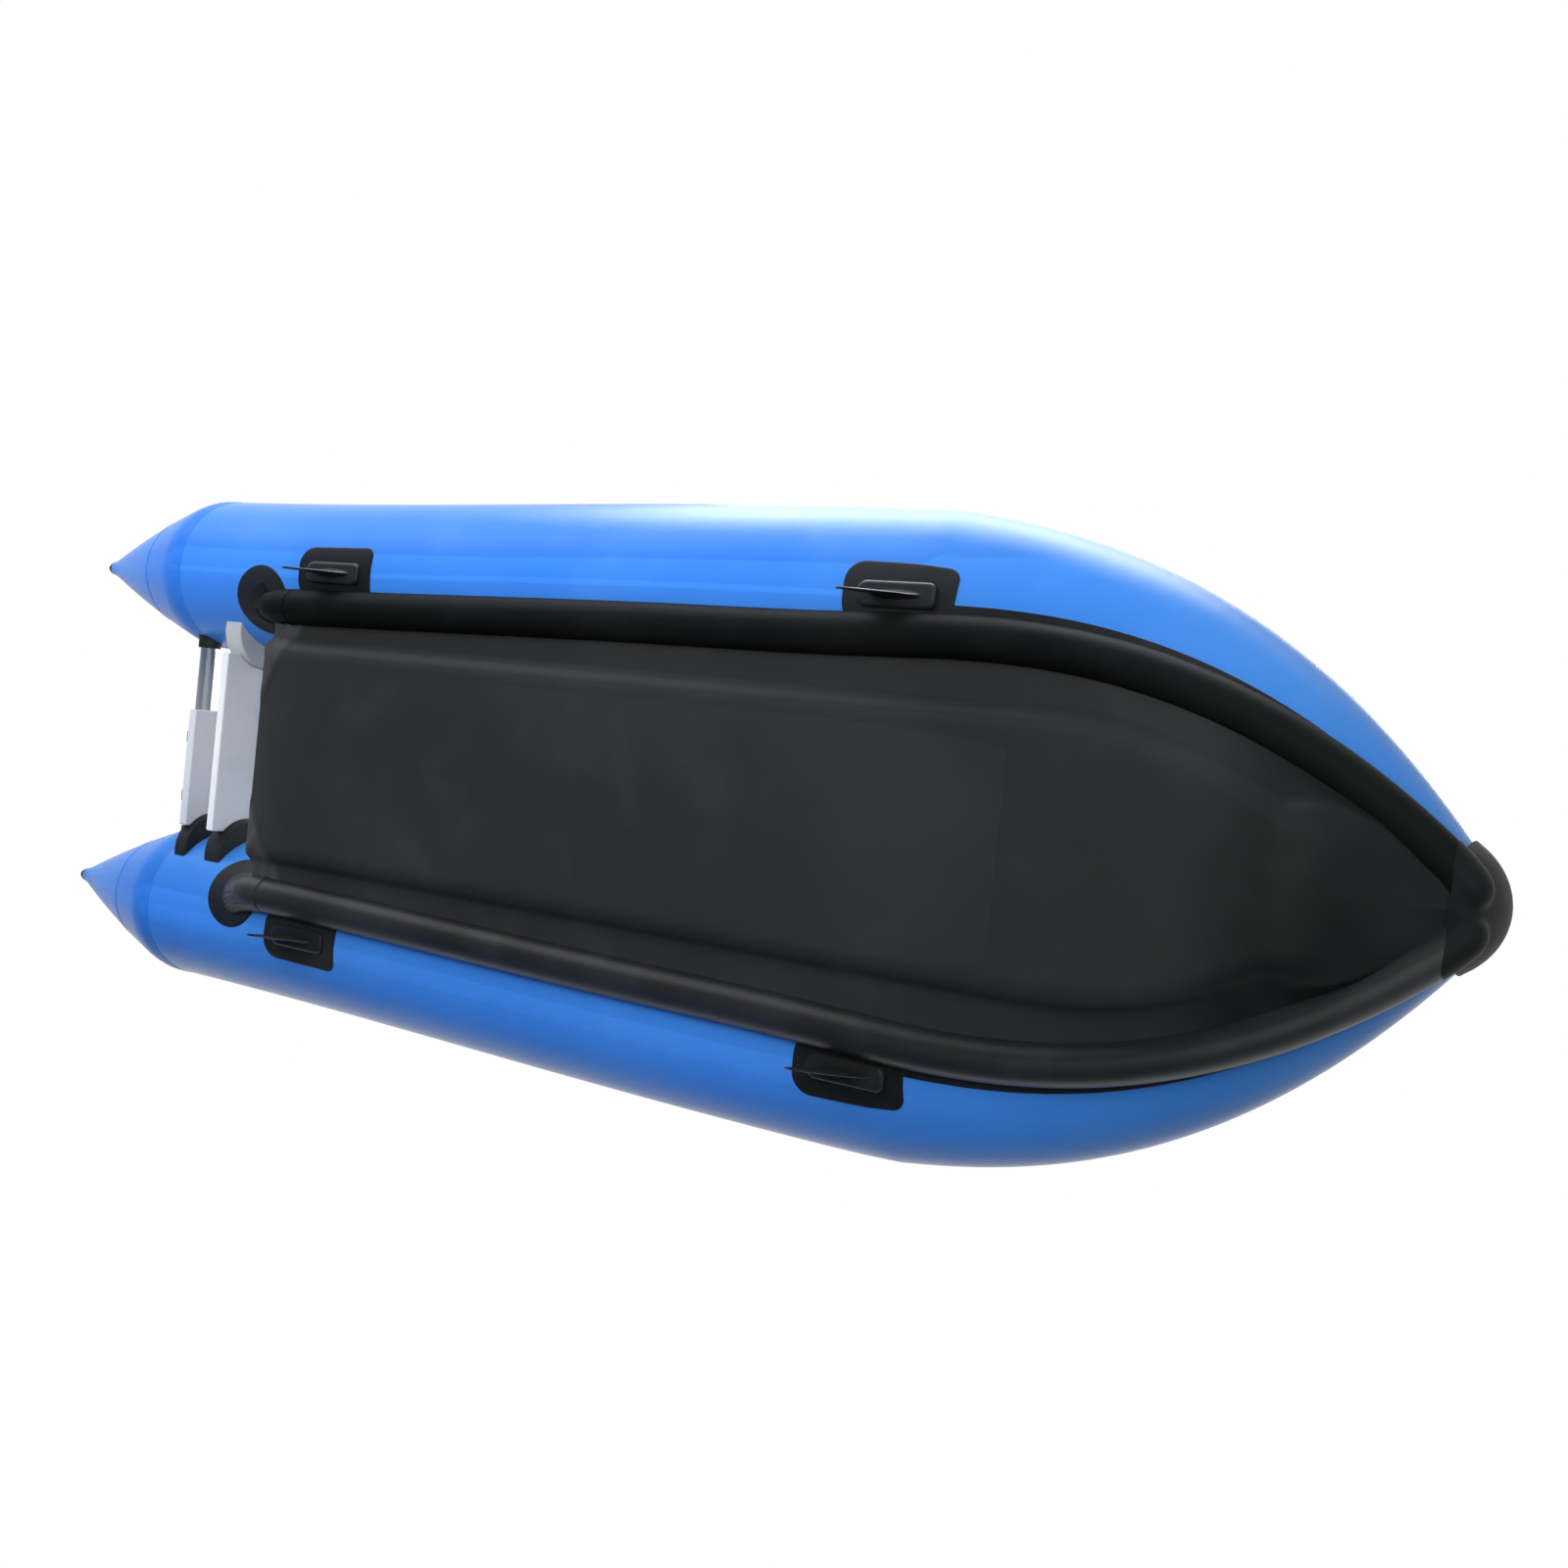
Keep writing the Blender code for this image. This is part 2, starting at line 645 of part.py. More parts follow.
for label, side in SIDES:
    for spot, x in zip(("aft", "fore"), FIN_STATIONS):
        name = label + "_" + spot + "_fin"
        corners = (FIN_PATCH_FORE_CORNER, FIN_PATCH_AFT_CORNER)
        outline = rounded_outline(FIN_PATCH_LENGTH, FIN_PATCH_WIDTH, *corners)
        part(tube_patch(name + "_patch", outline, label, side, x, 0.0), BLACK, 0.5)
        corners = (FIN_PLINTH_FORE_CORNER, FIN_PLINTH_AFT_CORNER)
        outline = rounded_outline(FIN_PLINTH_LENGTH, FIN_PLINTH_WIDTH, *corners)
        plinth = prism(name, outline, -FIN_PLINTH_ROOT, FIN_PLINTH_HEIGHT)
        plinth = finished(bevelled(plinth, FIN_PLINTH_EDGE))
        half = FIN_BLADE_THICKNESS / 2
        blade = prism(name + "_blade", fin_blade_outline(), -half, half)
        settled(blade, Matrix.Rotation(math.pi / 2, 4, "X"))
        blade = cutter(finished(bevelled(blade, FIN_BLADE_EDGE, 1)))
        boolean(plinth, blade, "UNION")
        fin = finished(plinth)
        bpy.data.objects.remove(blade, do_unlink=True)
        seat = surface_matrix(x, side, 0.0).translation
        settled(fin, Matrix.Translation(seat) @ Matrix.Rotation(math.pi, 4, "X"))
        boolean(fin, FAT[label, "over"], "DIFFERENCE")
        part(finished(fin), BLACK, 0.45)


# air deck: a flat drop-stitch panel with half-round sides that narrows to a blunt front
def deck_half_width(x):
    narrow = share(x, DECK_NARROW_START, DECK_FRONT) ** DECK_NARROW_POWER
    return DECK_HALF_WIDTH - (DECK_HALF_WIDTH - DECK_FRONT_HALF_WIDTH) * narrow


def deck_rise(x):
    return DECK_RISE_SHARE * rise(x)


def deck_section(x, shrink):
    """Closed outline across the deck: flat bottom, half-round sides, flat top."""
    radius = DECK_THICKNESS / 2
    middle = TUBE_AXIS_HEIGHT + DECK_BOTTOM + GAP + radius + deck_rise(x)
    flat = deck_half_width(x) - shrink
    thin = radius - DECK_THIN_SHARE * shrink
    points = []
    for side in (1, -1):
        for k in range(7):
            turn = math.radians(-90.0 + 30.0 * k)
            points.append((side * (flat + thin * math.cos(turn)), middle + side * thin * math.sin(turn)))
    return [Vector((STERN_X + x, y, z)) for y, z in points]


def loft(name, rings):
    """Skins a row of matching closed rings and closes both ends."""
    def build(mesh):
        rows = [[mesh.verts.new(p) for p in ring] for ring in rings]
        count = len(rows[0])
        for near, far in zip(rows, rows[1:]):
            for k in range(count):
                mesh.faces.new((near[k], near[(k + 1) % count], far[(k + 1) % count], far[k]))
        mesh.faces.new(rows[0])
        mesh.faces.new(rows[-1])
    return mesh_object(name, build)


deck_stations = [(DECK_START + step, shrink) for step, shrink in DECK_AFT_EDGE]
deck_stations += [(x, 0.0) for x in spread(DECK_START + DECK_FIRST_BAY, DECK_NARROW_START, 4)]
deck_stations += [(x, 0.0) for x in spread(DECK_NARROW_START, DECK_FRONT - DECK_LAST_BAY, 7)[1:]]
deck_stations += [(DECK_FRONT - step, shrink) for step, shrink in DECK_FORE_EDGE]
deck = loft("air_deck", [deck_section(x, shrink) for x, shrink in deck_stations])
part(deck, GREY, 0.6)


# bottom skin: wraps the deck's lower edge, then runs to the keel tubes; forward of the deck it is
# stretched hollow between the keel tubes up to the bow
def skin_section(x):
    """Points from the middle of the boat out to the port keel tube."""
    wrap = DECK_THICKNESS / 2 + GAP + SKIN_THICKNESS / 2
    flat = deck_half_width(min(x, DECK_FRONT))
    level = TUBE_AXIS_HEIGHT + DECK_BOTTOM - SKIN_THICKNESS / 2 + deck_rise(x)
    keel = keel_point(x, 1)
    edge_y = keel.y - SKIN_EDGE_SHARE * keel_radius(x)
    over = [(flat * k / 4, level) for k in range(5)]
    for k in range(1, 5):
        turn = SKIN_WRAP * k / 4
        over.append((flat + wrap * math.sin(turn), level + wrap * (1.0 - math.cos(turn))))
    valley = SKIN_VALLEY_SHARE * over[-1][1] + (1.0 - SKIN_VALLEY_SHARE) * keel.z
    over.append(((over[-1][0] + edge_y) / 2, valley))
    over.append((edge_y, keel.z))
    hollow = []
    for k in range(len(over)):
        t = k / (len(over) - 1)
        belly = SKIN_BOW_HOLLOW * (1.0 - t * t) - SKIN_BOW_SAG * (1.0 - t)
        hollow.append((edge_y * t, keel.z + belly))
    blend = share(x, DECK_FRONT - SKIN_STEP_BACK, DECK_FRONT - SKIN_STEP_BACK + SKIN_STEP_LENGTH)
    blend = blend * blend * (3.0 - 2.0 * blend)
    mixed = [(a[0] + (b[0] - a[0]) * blend, a[1] + (b[1] - a[1]) * blend) for a, b in zip(over, hollow)]
    return [(keel.x, y, z) for y, z in mixed]


step_end = DECK_FRONT - SKIN_STEP_BACK + SKIN_STEP_LENGTH
skin_x = [SKIN_START] + spread(SKIN_START + SKIN_FIRST_BAY, DECK_NARROW_START, 5)
skin_x += spread(DECK_NARROW_START, DECK_FRONT - SKIN_STEP_BACK, 7)[1:]
skin_x += spread(DECK_FRONT - SKIN_STEP_BACK, step_end, 5)[1:]
skin_x += spread(step_end, SKIN_END, 6)[1:]


def skin_mesh(mesh):
    rows = []
    for x in skin_x:
        half = skin_section(x)
        full = [(px, -y, z) for px, y, z in reversed(half[1:])] + half
        rows.append([mesh.verts.new(p) for p in full])
    for near, far in zip(rows, rows[1:]):
        for k in range(len(near) - 1):
            mesh.faces.new((near[k], far[k], far[k + 1], near[k + 1]))


skin = mesh_object("bottom_skin", skin_mesh)
wall = skin.modifiers.new("wall", "SOLIDIFY")
wall.thickness = SKIN_THICKNESS
wall.offset = 0.0
skin = finished(skin)
nose_aft = STERN_X + NOSE_CAP_START
reach = BOW_END
ahead = box("ahead_of_skin", (nose_aft - GAP, -reach, -reach), (nose_aft + reach, reach, reach))
boolean(skin, cutter(ahead), "DIFFERENCE")
for label, side in SIDES:
    boolean(skin, FAT[label, "keel"], "DIFFERENCE")
    boolean(skin, FAT[label, "gap"], "DIFFERENCE")
part(finished(skin), BLACK, 0.42)


# nose cap: a moulded cap over the ends of the hull and keel tubes, rounded in front, square behind
def nose_round(name):
    """A ball at the meeting point of the tubes, drawn deeper below."""
    def build(mesh):
        bmesh.ops.create_uvsphere(mesh, u_segments=NOSE_SEGMENTS, v_segments=NOSE_RINGS, radius=1.0)
        for vertex in mesh.verts:
            height = NOSE_UPPER_HEIGHT if vertex.co.z > 0.0 else NOSE_LOWER_HEIGHT
            vertex.co = (vertex.co.x * NOSE_LENGTH, vertex.co.y * NOSE_HALF_WIDTH, vertex.co.z * height)
    return settled(mesh_object(name, build), Matrix.Translation(tube_axis(BOW_END, 1)))


nose = box("nose_cap", (nose_aft, -reach, -reach), (nose_aft + reach, reach, reach))
nose_body = cutter(finished(nose_round("nose_body")))
for label, side in SIDES:
    boolean(nose_body, cutter(hull_tube(label + "_nose_outer", side, GAP + NOSE_WALL)), "UNION")
nose_body = cutter(finished(nose_body))
boolean(nose, nose_body, "INTERSECT")
for label, side in SIDES:
    boolean(nose, FAT[label, "gap"], "DIFFERENCE")
    boolean(nose, FAT[label, "keel"], "DIFFERENCE")
part(finished(nose), BLACK, 0.45)


# stern: rubber pads on the inner sides of the hull tubes hold a stern board between them
def pad_centre(side, x):
    inner = STERN_HALF_SPACING - math.sqrt(TUBE_RADIUS ** 2 - PAD_DROP ** 2)
    return STERN_X + x, side * (inner - PAD_STANDOFF + PAD_RADIUS), TUBE_AXIS_HEIGHT - PAD_DROP


def rubber_pad(name, label, side, x, length):
    pad = moved(rod(name, PAD_RADIUS, length / 2, PAD_SIDES, "X"), *pad_centre(side, x))
    bevelled(pad, PAD_EDGE)
    boolean(pad, FAT[label, "gap"], "DIFFERENCE")
    return part(finished(pad), BLACK, 0.7)


rubber_pad("port_board_pad", "port", 1, BOARD_X, PAD_LENGTH)
rubber_pad("starboard_board_pad", "starboard", -1, BOARD_X, PAD_LENGTH)
rubber_pad("port_plate_pad", "port", 1, PLATE_PAD_X, PLATE_PAD_LENGTH)


def cross_board(name, x, thickness, ends, heights, hollow_sides, colour):
    """An upright board across the boat, hollowed at its ends where it takes a pad."""
    low = (STERN_X + x - thickness / 2, ends[0], TUBE_AXIS_HEIGHT + heights[0])
    high = (STERN_X + x + thickness / 2, ends[1], TUBE_AXIS_HEIGHT + heights[1])
    panel = box(name, low, high)
    for side in hollow_sides:
        scoop = rod(name + "_scoop", PAD_RADIUS + GAP, PAD_LENGTH, PAD_SIDES, "X")
        boolean(panel, cutter(moved(scoop, *pad_centre(side, x))), "DIFFERENCE")
    bevelled(panel, BOARD_EDGE)
    return part(finished(panel), colour, 0.45)


board_ends = (-BOARD_HALF_LENGTH, BOARD_HALF_LENGTH)
plate_ends = (PLATE_INNER_END, BOARD_HALF_LENGTH)
cross_board("stern_board", BOARD_X, BOARD_THICKNESS, board_ends, (BOARD_LOW, BOARD_HIGH), (1, -1), GREY)
cross_board("motor_plate", PLATE_X, PLATE_THICKNESS, plate_ends, (PLATE_LOW, PLATE_HIGH), (1,), LILAC_GREY)

# cross tube in two rubber sockets, with two clamps that carry the motor plate
tube_gap = STERN_HALF_SPACING - math.sqrt(TUBE_RADIUS ** 2 - CROSS_TUBE_Z ** 2)
cross_at = Vector((STERN_X + CROSS_TUBE_X, 0.0, TUBE_AXIS_HEIGHT + CROSS_TUBE_Z))
socket_face = tube_gap - SOCKET_THICKNESS
cross = rod("cross_tube", CROSS_TUBE_RADIUS, socket_face + SOCKET_DEPTH, CROSS_SIDES, "Y")
part(settled(cross, Matrix.Translation(cross_at)), STEEL, 0.18, 1.0)
for label, side in SIDES:
    bore = CROSS_TUBE_RADIUS + GAP
    floor = socket_face + SOCKET_DEPTH + GAP
    profile = [(0.0, tube_gap + SOCKET_ROOT), (SOCKET_RADIUS, tube_gap + SOCKET_ROOT)]
    profile += [(SOCKET_RADIUS, socket_face + SOCKET_EDGE), (SOCKET_RADIUS - SOCKET_EDGE, socket_face)]
    profile += [(bore, socket_face), (bore, floor), (0.0, floor)]
    socket = turned(label + "_tube_socket", profile, CROSS_SIDES)
    settled(socket, Matrix.Translation(cross_at) @ Matrix.Rotation(-side * math.pi / 2, 4, "X"))
    boolean(socket, FAT[label, "gap"], "DIFFERENCE")
    part(finished(socket), BLACK, 0.7)
for k, y in enumerate(CLAMP_Y):
    outer = CROSS_TUBE_RADIUS + CLAMP_WALL
    front = PLATE_X - PLATE_THICKNESS / 2 - GAP - CROSS_TUBE_X
    half = CLAMP_WIDTH / 2
    low = (0.0, -half, -outer - CLAMP_FLANGE)
    clamp = box("plate_clamp_" + str(k + 1), low, (front, half, outer + CLAMP_FLANGE))
    boolean(clamp, cutter(rod("clamp_collar", outer, half, CROSS_SIDES, "Y")), "UNION")
    clamp = finished(clamp)
    drill = rod("clamp_bore", CROSS_TUBE_RADIUS + GAP, CLAMP_WIDTH, CROSS_SIDES, "Y")
    boolean(clamp, cutter(drill), "DIFFERENCE")
    clamp = finished(clamp)
    part(settled(clamp, Matrix.Translation(cross_at + Vector((0.0, y, 0.0)))), BLACK, 0.5)


# air valves: a flanged collar, a spring plunger on its guide and a screw cap over it
def air_valve(name, seat, trim=None):
    flange, collar, top = VALVE_FLANGE_RADIUS, VALVE_COLLAR_RADIUS, VALVE_COLLAR_HEIGHT
    floor = top - VALVE_BORE_DEPTH
    low = GAP if trim is None else -VALVE_ROOT
    guide = VALVE_STEM_RADIUS + GAP
    profile = [(0.0, VALVE_GUIDE_FLOOR), (guide, VALVE_GUIDE_FLOOR), (guide, floor)]
    profile += [(VALVE_BORE_RADIUS, floor), (VALVE_BORE_RADIUS, top), (collar, top)]
    profile += [(collar, VALVE_FLANGE_HEIGHT), (flange - VALVE_FLANGE_EDGE, VALVE_FLANGE_HEIGHT)]
    profile += [(flange, VALVE_FLANGE_HEIGHT - VALVE_FLANGE_EDGE), (flange, low), (0.0, low)]
    body = settled(turned(name + "_valve_body", profile, VALVE_SIDES), seat)
    if trim is not None:
        boolean(body, trim, "DIFFERENCE")
    part(finished(body), BLACK, 0.4)
    under = floor + VALVE_STROKE + GAP
    head = under + VALVE_HEAD_THICKNESS
    foot = under - VALVE_STEM_LENGTH
    stem = [(0.0, head), (VALVE_HEAD_RADIUS - VALVE_HEAD_EDGE, head)]
    stem += [(VALVE_HEAD_RADIUS, head - VALVE_HEAD_EDGE), (VALVE_HEAD_RADIUS, under)]
    stem += [(VALVE_STEM_RADIUS, under), (VALVE_STEM_RADIUS, foot), (0.0, foot)]
    part(settled(turned(name + "_valve_plunger", stem, TIP_CAP_SIDES), seat), PALE, 0.4)
    wall = collar + GAP
    roof = top + GAP
    outer = wall + VALVE_CAP_WALL
    crown = roof + VALVE_CAP_TOP
    cap = [(0.0, crown), (outer - VALVE_CAP_EDGE, crown), (outer, crown - VALVE_CAP_EDGE)]
    cap += [(outer, VALVE_FLANGE_HEIGHT + GAP), (wall, VALVE_FLANGE_HEIGHT + GAP), (wall, roof), (0.0, roof)]
    shell = settled(turned(name + "_valve_cap", cap, VALVE_SIDES), seat)
    span, half = VALVE_WING_SHARE * outer, VALVE_WING_THICKNESS / 2
    low, high = crown - VALVE_WING_ROOT, crown + VALVE_WING_HEIGHT
    wing = box(name + "_cap_wing", (-span, -half, low), (span, half, high))
    boolean(shell, cutter(settled(bevelled(wing, VALVE_HEAD_EDGE, 1), seat)), "UNION")
    part(finished(shell), BLACK, 0.4)


for label, side in SIDES:
    air_valve(label, surface_matrix(VALVE_STATION, side, math.pi + VALVE_ANGLE), FAT[label, "gap"])
deck_top = TUBE_AXIS_HEIGHT + DECK_BOTTOM + GAP + DECK_THICKNESS
air_valve("deck", Matrix.Translation((STERN_X + DECK_START + DECK_VALVE_X, 0.0, deck_top)))


# steel D-rings, each held by a webbing loop on a round patch
def ring_line():
    points = [(0.0, -RING_HALF_WIDTH, 0.0), (0.0, RING_HALF_WIDTH, 0.0)]
    for k in range(1, 10):
        turn = math.pi / 2 * (1.0 - k / 5.0)
        depth = RING_DEPTH * max(math.cos(turn), 0.0) ** RING_ROUND_POWER
        points.append((0.0, RING_HALF_WIDTH * math.sin(turn), depth))
    return [Vector(p) for p in points]


RING_LIFT = PATCH_THICKNESS + RING_FREE_HEIGHT + RING_WIRE_RADIUS


def ring_set(name, label, side, x, angle):
    disc = disc_outline(RING_PATCH_RADIUS, RING_PATCH_SIDES)
    patch = tube_patch(name + "_ring_patch", disc, label, side, x, angle)
    seat = surface_matrix(x, side, angle)
    bore = RING_WIRE_RADIUS + GAP
    outer = bore + RING_LOOP_WALL
    half = RING_LOOP_LENGTH / 2
    loop = rod(name + "_loop", outer, half, RING_LOOP_SIDES, "Y")
    low = (-RING_FOOT_SPREAD * outer, -half, RING_FOOT_LOW - RING_LIFT)
    foot = box(name + "_foot", low, (RING_FOOT_SPREAD * outer, half, -RING_FOOT_TOP_SHARE * outer))
    boolean(loop, cutter(foot), "UNION")
    loop = finished(loop)
    boolean(loop, cutter(rod(name + "_drill", bore, RING_LOOP_LENGTH, RING_LOOP_SIDES, "Y")), "DIFFERENCE")
    loop = finished(loop)
    settled(loop, seat @ Matrix.Translation((0.0, 0.0, RING_LIFT)))
    boolean(loop, FAT[label, "half"], "DIFFERENCE")
    boolean(patch, cutter(finished(loop)), "UNION")
    patch = part(finished(patch, name + "_ring_patch"), BLACK, 0.6)
    ring = path_tube(name + "_d_ring", ring_line(), [RING_WIRE_RADIUS] * 11, 1, closed=True)
    settled(ring, seat @ Matrix.Translation((0.0, 0.0, RING_LIFT)) @ Matrix.Rotation(RING_LEAN, 4, "Y"))
    return patch, part(ring, STEEL, 0.22, 1.0)


for spot, x in zip(("aft", "middle", "fore"), RING_STATIONS):
    for piece in ring_set("port_" + spot, "port", 1, x, math.pi + RING_ANGLE):
        mirrored(piece, piece.name.replace("port", "starboard"))


# carry handles: a patch on top of each hull tube with a moulded grip arched over it
def carry_handle(name, label, side, x, angle):
    corner = HANDLE_PATCH_CORNER
    outline = rounded_outline(HANDLE_PATCH_LENGTH, HANDLE_PATCH_WIDTH, corner, corner)
    part(tube_patch(name + "_handle_patch", outline, label, side, x, angle), BLACK, 0.6)
    points = []
    for k in range(HANDLE_STEPS + 1):
        t = -1.0 + 2.0 * k / HANDLE_STEPS
        lift = HANDLE_RISE * (1.0 - abs(t) ** HANDLE_ROUND_POWER) - HANDLE_SINK
        points.append(Vector((HANDLE_SPAN / 2 * t, 0.0, lift)))
    points[0].z = -HANDLE_ROOT
    points[-1].z = -HANDLE_ROOT
    grip = path_tube(name + "_handle_grip", points, [HANDLE_GRIP_RADIUS] * len(points), 2)
    settled(grip, surface_matrix(x, side, angle))
    boolean(grip, FAT[label, "over"], "DIFFERENCE")
    part(finished(grip), BLACK, 0.55)


for label, side in SIDES:
    carry_handle(label, label, side, HANDLE_STATION, math.pi)
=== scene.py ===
import math
import bmesh
import bpy
import numpy as np
from mathutils import Matrix, Vector


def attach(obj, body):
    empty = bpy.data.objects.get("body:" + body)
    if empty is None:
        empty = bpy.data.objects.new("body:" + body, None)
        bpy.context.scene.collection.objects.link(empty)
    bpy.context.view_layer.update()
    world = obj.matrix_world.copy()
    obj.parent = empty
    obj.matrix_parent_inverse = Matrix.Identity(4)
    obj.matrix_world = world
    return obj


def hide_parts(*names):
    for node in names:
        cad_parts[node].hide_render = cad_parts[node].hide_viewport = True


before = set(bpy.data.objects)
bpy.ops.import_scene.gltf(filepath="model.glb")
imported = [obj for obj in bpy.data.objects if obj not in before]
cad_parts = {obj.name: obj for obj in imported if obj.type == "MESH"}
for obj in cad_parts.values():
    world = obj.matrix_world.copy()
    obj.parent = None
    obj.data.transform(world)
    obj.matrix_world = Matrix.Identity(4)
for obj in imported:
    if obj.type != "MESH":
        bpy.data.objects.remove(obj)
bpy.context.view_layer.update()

# Camera, light and floor.
# The boat is seen from below and a little from ahead, its bow to the right and its port side down.
# A soft lamp stands off the starboard side, others light the bottom from aft and ahead, and one the top.
# The window is seen only as a reflection in the cloth.
CAMERA_PLACE = (2.09899, -0.15636, -2.42879)
CAMERA_TURN = (-177.8647, -32.8904, -7.2041)
CAMERA_LENS = 40.5
SKY_GLOW = 0.11
LAMPS = (
    ("side_lamp", (1.2, -3.6, 1.9), (0.9, -0.35, 0.26), (3.0, 1.4), 33.0),
    ("aft_lamp", (-1.0, -1.8, -3.1), (0.0, 0.0, 0.1), (2.6, 2.6), 105.0),
    ("low_lamp", (-2.6, -3.2, -0.80), (0.2, 0.1, 0.1), (3.2, 1.0), 70.0),
    ("fore_lamp", (2.0, -0.7, -3.0), (-0.3, 0.1, 0.1), (1.6, 1.6), 52.0),
    ("top_lamp", (-0.4, -1.2, 3.6), (0.0, 0.0, 0.2), (3.0, 3.0), 70.0),
)
WINDOW = ("window", (-0.40, -2.7, 1.22), (-0.40, 0.0, 1.02), (3.3, 2.2), 210.0)
FLOOR_SIZE = 60.0
FLOOR_WHITE = (0.86, 0.86, 0.86)


class Flow:
    """A value in a node tree: sums written on it become nodes of that tree."""

    def __init__(self, tree, made=None, output=0):
        self.tree = tree
        self.made = made
        self.socket = self.pick(made.outputs, output) if made and made.outputs else None

    @staticmethod
    def pick(sockets, key):
        if isinstance(key, int):
            return sockets[key]
        return next(s for s in sockets if s.name == key and s.enabled)

    def feed(self, socket, value):
        if isinstance(value, Flow):
            self.tree.links.new(value.socket, socket)
        else:
            socket.default_value = value

    def node(self, kind, settings=None, sockets=None, output=0):
        """Adds a node: settings first, then the values or links of its sockets."""
        made = self.tree.nodes.new(kind)
        for name, value in (settings or {}).items():
            setattr(made, name, value)
        for name, value in (sockets or {}).items():
            self.feed(self.pick(made.inputs, name), value)
        return Flow(self.tree, made, output)

    def __getitem__(self, output):
        return Flow(self.tree, self.made, output)

    def maths(self, operation, *values):
        return self.node("ShaderNodeMath", {"operation": operation}, dict(enumerate(values)))

    def __add__(self, other):
        return self.maths("ADD", self, other)

    def __radd__(self, other):
        return self.maths("ADD", other, self)

    def __sub__(self, other):
        return self.maths("SUBTRACT", self, other)

    def __rsub__(self, other):
        return self.maths("SUBTRACT", other, self)

    def __mul__(self, other):
        return self.maths("MULTIPLY", self, other)

    def __truediv__(self, other):
        return self.maths("DIVIDE", self, other)

    def __pow__(self, other):
        return self.maths("POWER", self, other)

    def __abs__(self):
        return self.maths("ABSOLUTE", self)

    def sine(self):
        return self.maths("SINE", self)

    def between(self, low, high):
        """0 below low, 1 above high, smooth from one to the other."""
        settings = {"interpolation_type": "SMOOTHSTEP"}
        return self.node("ShaderNodeMapRange", settings, {"Value": self, "From Min": low, "From Max": high})

    def tint(self, colour, other):
        """Mixes two colours by this value."""
        return self.node("ShaderNodeMix", {"data_type": "RGBA"}, {"Factor": self, "A": colour, "B": other}, 2)

    def place(self):
        """The point that is shaded, in metres on the object itself."""
        return self.node("ShaderNodeTexCoord")["Object"]

    def split(self):
        return self.node("ShaderNodeSeparateXYZ", {}, {0: self})

    def noise(self, scale, detail):
        return self.node("ShaderNodeTexNoise", {}, {"Vector": self, "Scale": scale, "Detail": detail})

    def stretched(self, scale, **more):
        return self.node("ShaderNodeMapping", {}, {"Vector": self, "Scale": scale, **more})


def opaque(colour):
    return (*colour, 1.0)


def linked(name, data):
    """A new object in the scene, of a mesh, a lamp or a camera."""
    obj = bpy.data.objects.new(name, data)
    bpy.context.scene.collection.objects.link(obj)
    return obj


camera_data = bpy.data.cameras.new("camera")
camera_data.lens = CAMERA_LENS
camera = linked("camera", camera_data)
camera.location = CAMERA_PLACE
camera.rotation_euler = [math.radians(turn) for turn in CAMERA_TURN]
bpy.context.scene.camera = camera
bpy.context.scene.view_settings.view_transform = "Standard"

for name, place, aim, size, power in LAMPS + (WINDOW,):
    lamp = bpy.data.lights.new(name, "AREA")
    lamp.shape = "RECTANGLE"
    lamp.size, lamp.size_y = size
    lamp.energy = power
    holder = linked(name, lamp)
    holder.location = place
    holder.rotation_euler = (Vector(aim) - Vector(place)).to_track_quat("-Z", "Y").to_euler()

# The window is only a reflection, and the aft lamp is none: it would stand as a square in the flat skin.
bpy.data.objects["window"].visible_diffuse = False
bpy.data.objects["aft_lamp"].visible_glossy = False

world = bpy.data.worlds.new("studio")
bpy.context.scene.world = world
world.use_nodes = True
sky = Flow(world.node_tree)
path = sky.node("ShaderNodeLightPath")
seen = path["Is Camera Ray"].maths("MAXIMUM", path["Is Camera Ray"], path["Is Glossy Ray"])
seen = seen.maths("MAXIMUM", seen, path["Is Transmission Ray"])
glow = seen * (1.0 - SKY_GLOW) + SKY_GLOW
sky.feed(world.node_tree.nodes["Background"].inputs["Strength"], glow)
world.node_tree.nodes["Background"].inputs["Color"].default_value = opaque((1.0, 1.0, 1.0))

floor_mesh = bpy.data.meshes.new("floor")
half = FLOOR_SIZE / 2
corners = [(-half, -half, 0), (half, -half, 0), (half, half, 0), (-half, half, 0)]
floor_mesh.from_pydata(corners, [], [(0, 1, 2, 3)])
floor = linked("floor", floor_mesh)
floor.visible_shadow = False
floor_look = bpy.data.materials.new("pale_floor")
floor_look.use_nodes = True
floor_mesh.materials.append(floor_look)
paint = Flow(floor_look.node_tree)
plain = floor_look.node_tree.nodes["Principled BSDF"]
plain.inputs["Base Color"].default_value = opaque(FLOOR_WHITE)
plain.inputs["Roughness"].default_value = 0.9
under = paint.node("ShaderNodeNewGeometry")["Backfacing"]
clear = paint.node("ShaderNodeBsdfTransparent")
one_sided = paint.node("ShaderNodeMixShader", {}, {0: under, 1: Flow(floor_look.node_tree, plain), 2: clear})
paint.feed(floor_look.node_tree.nodes["Material Output"].inputs["Surface"], one_sided)

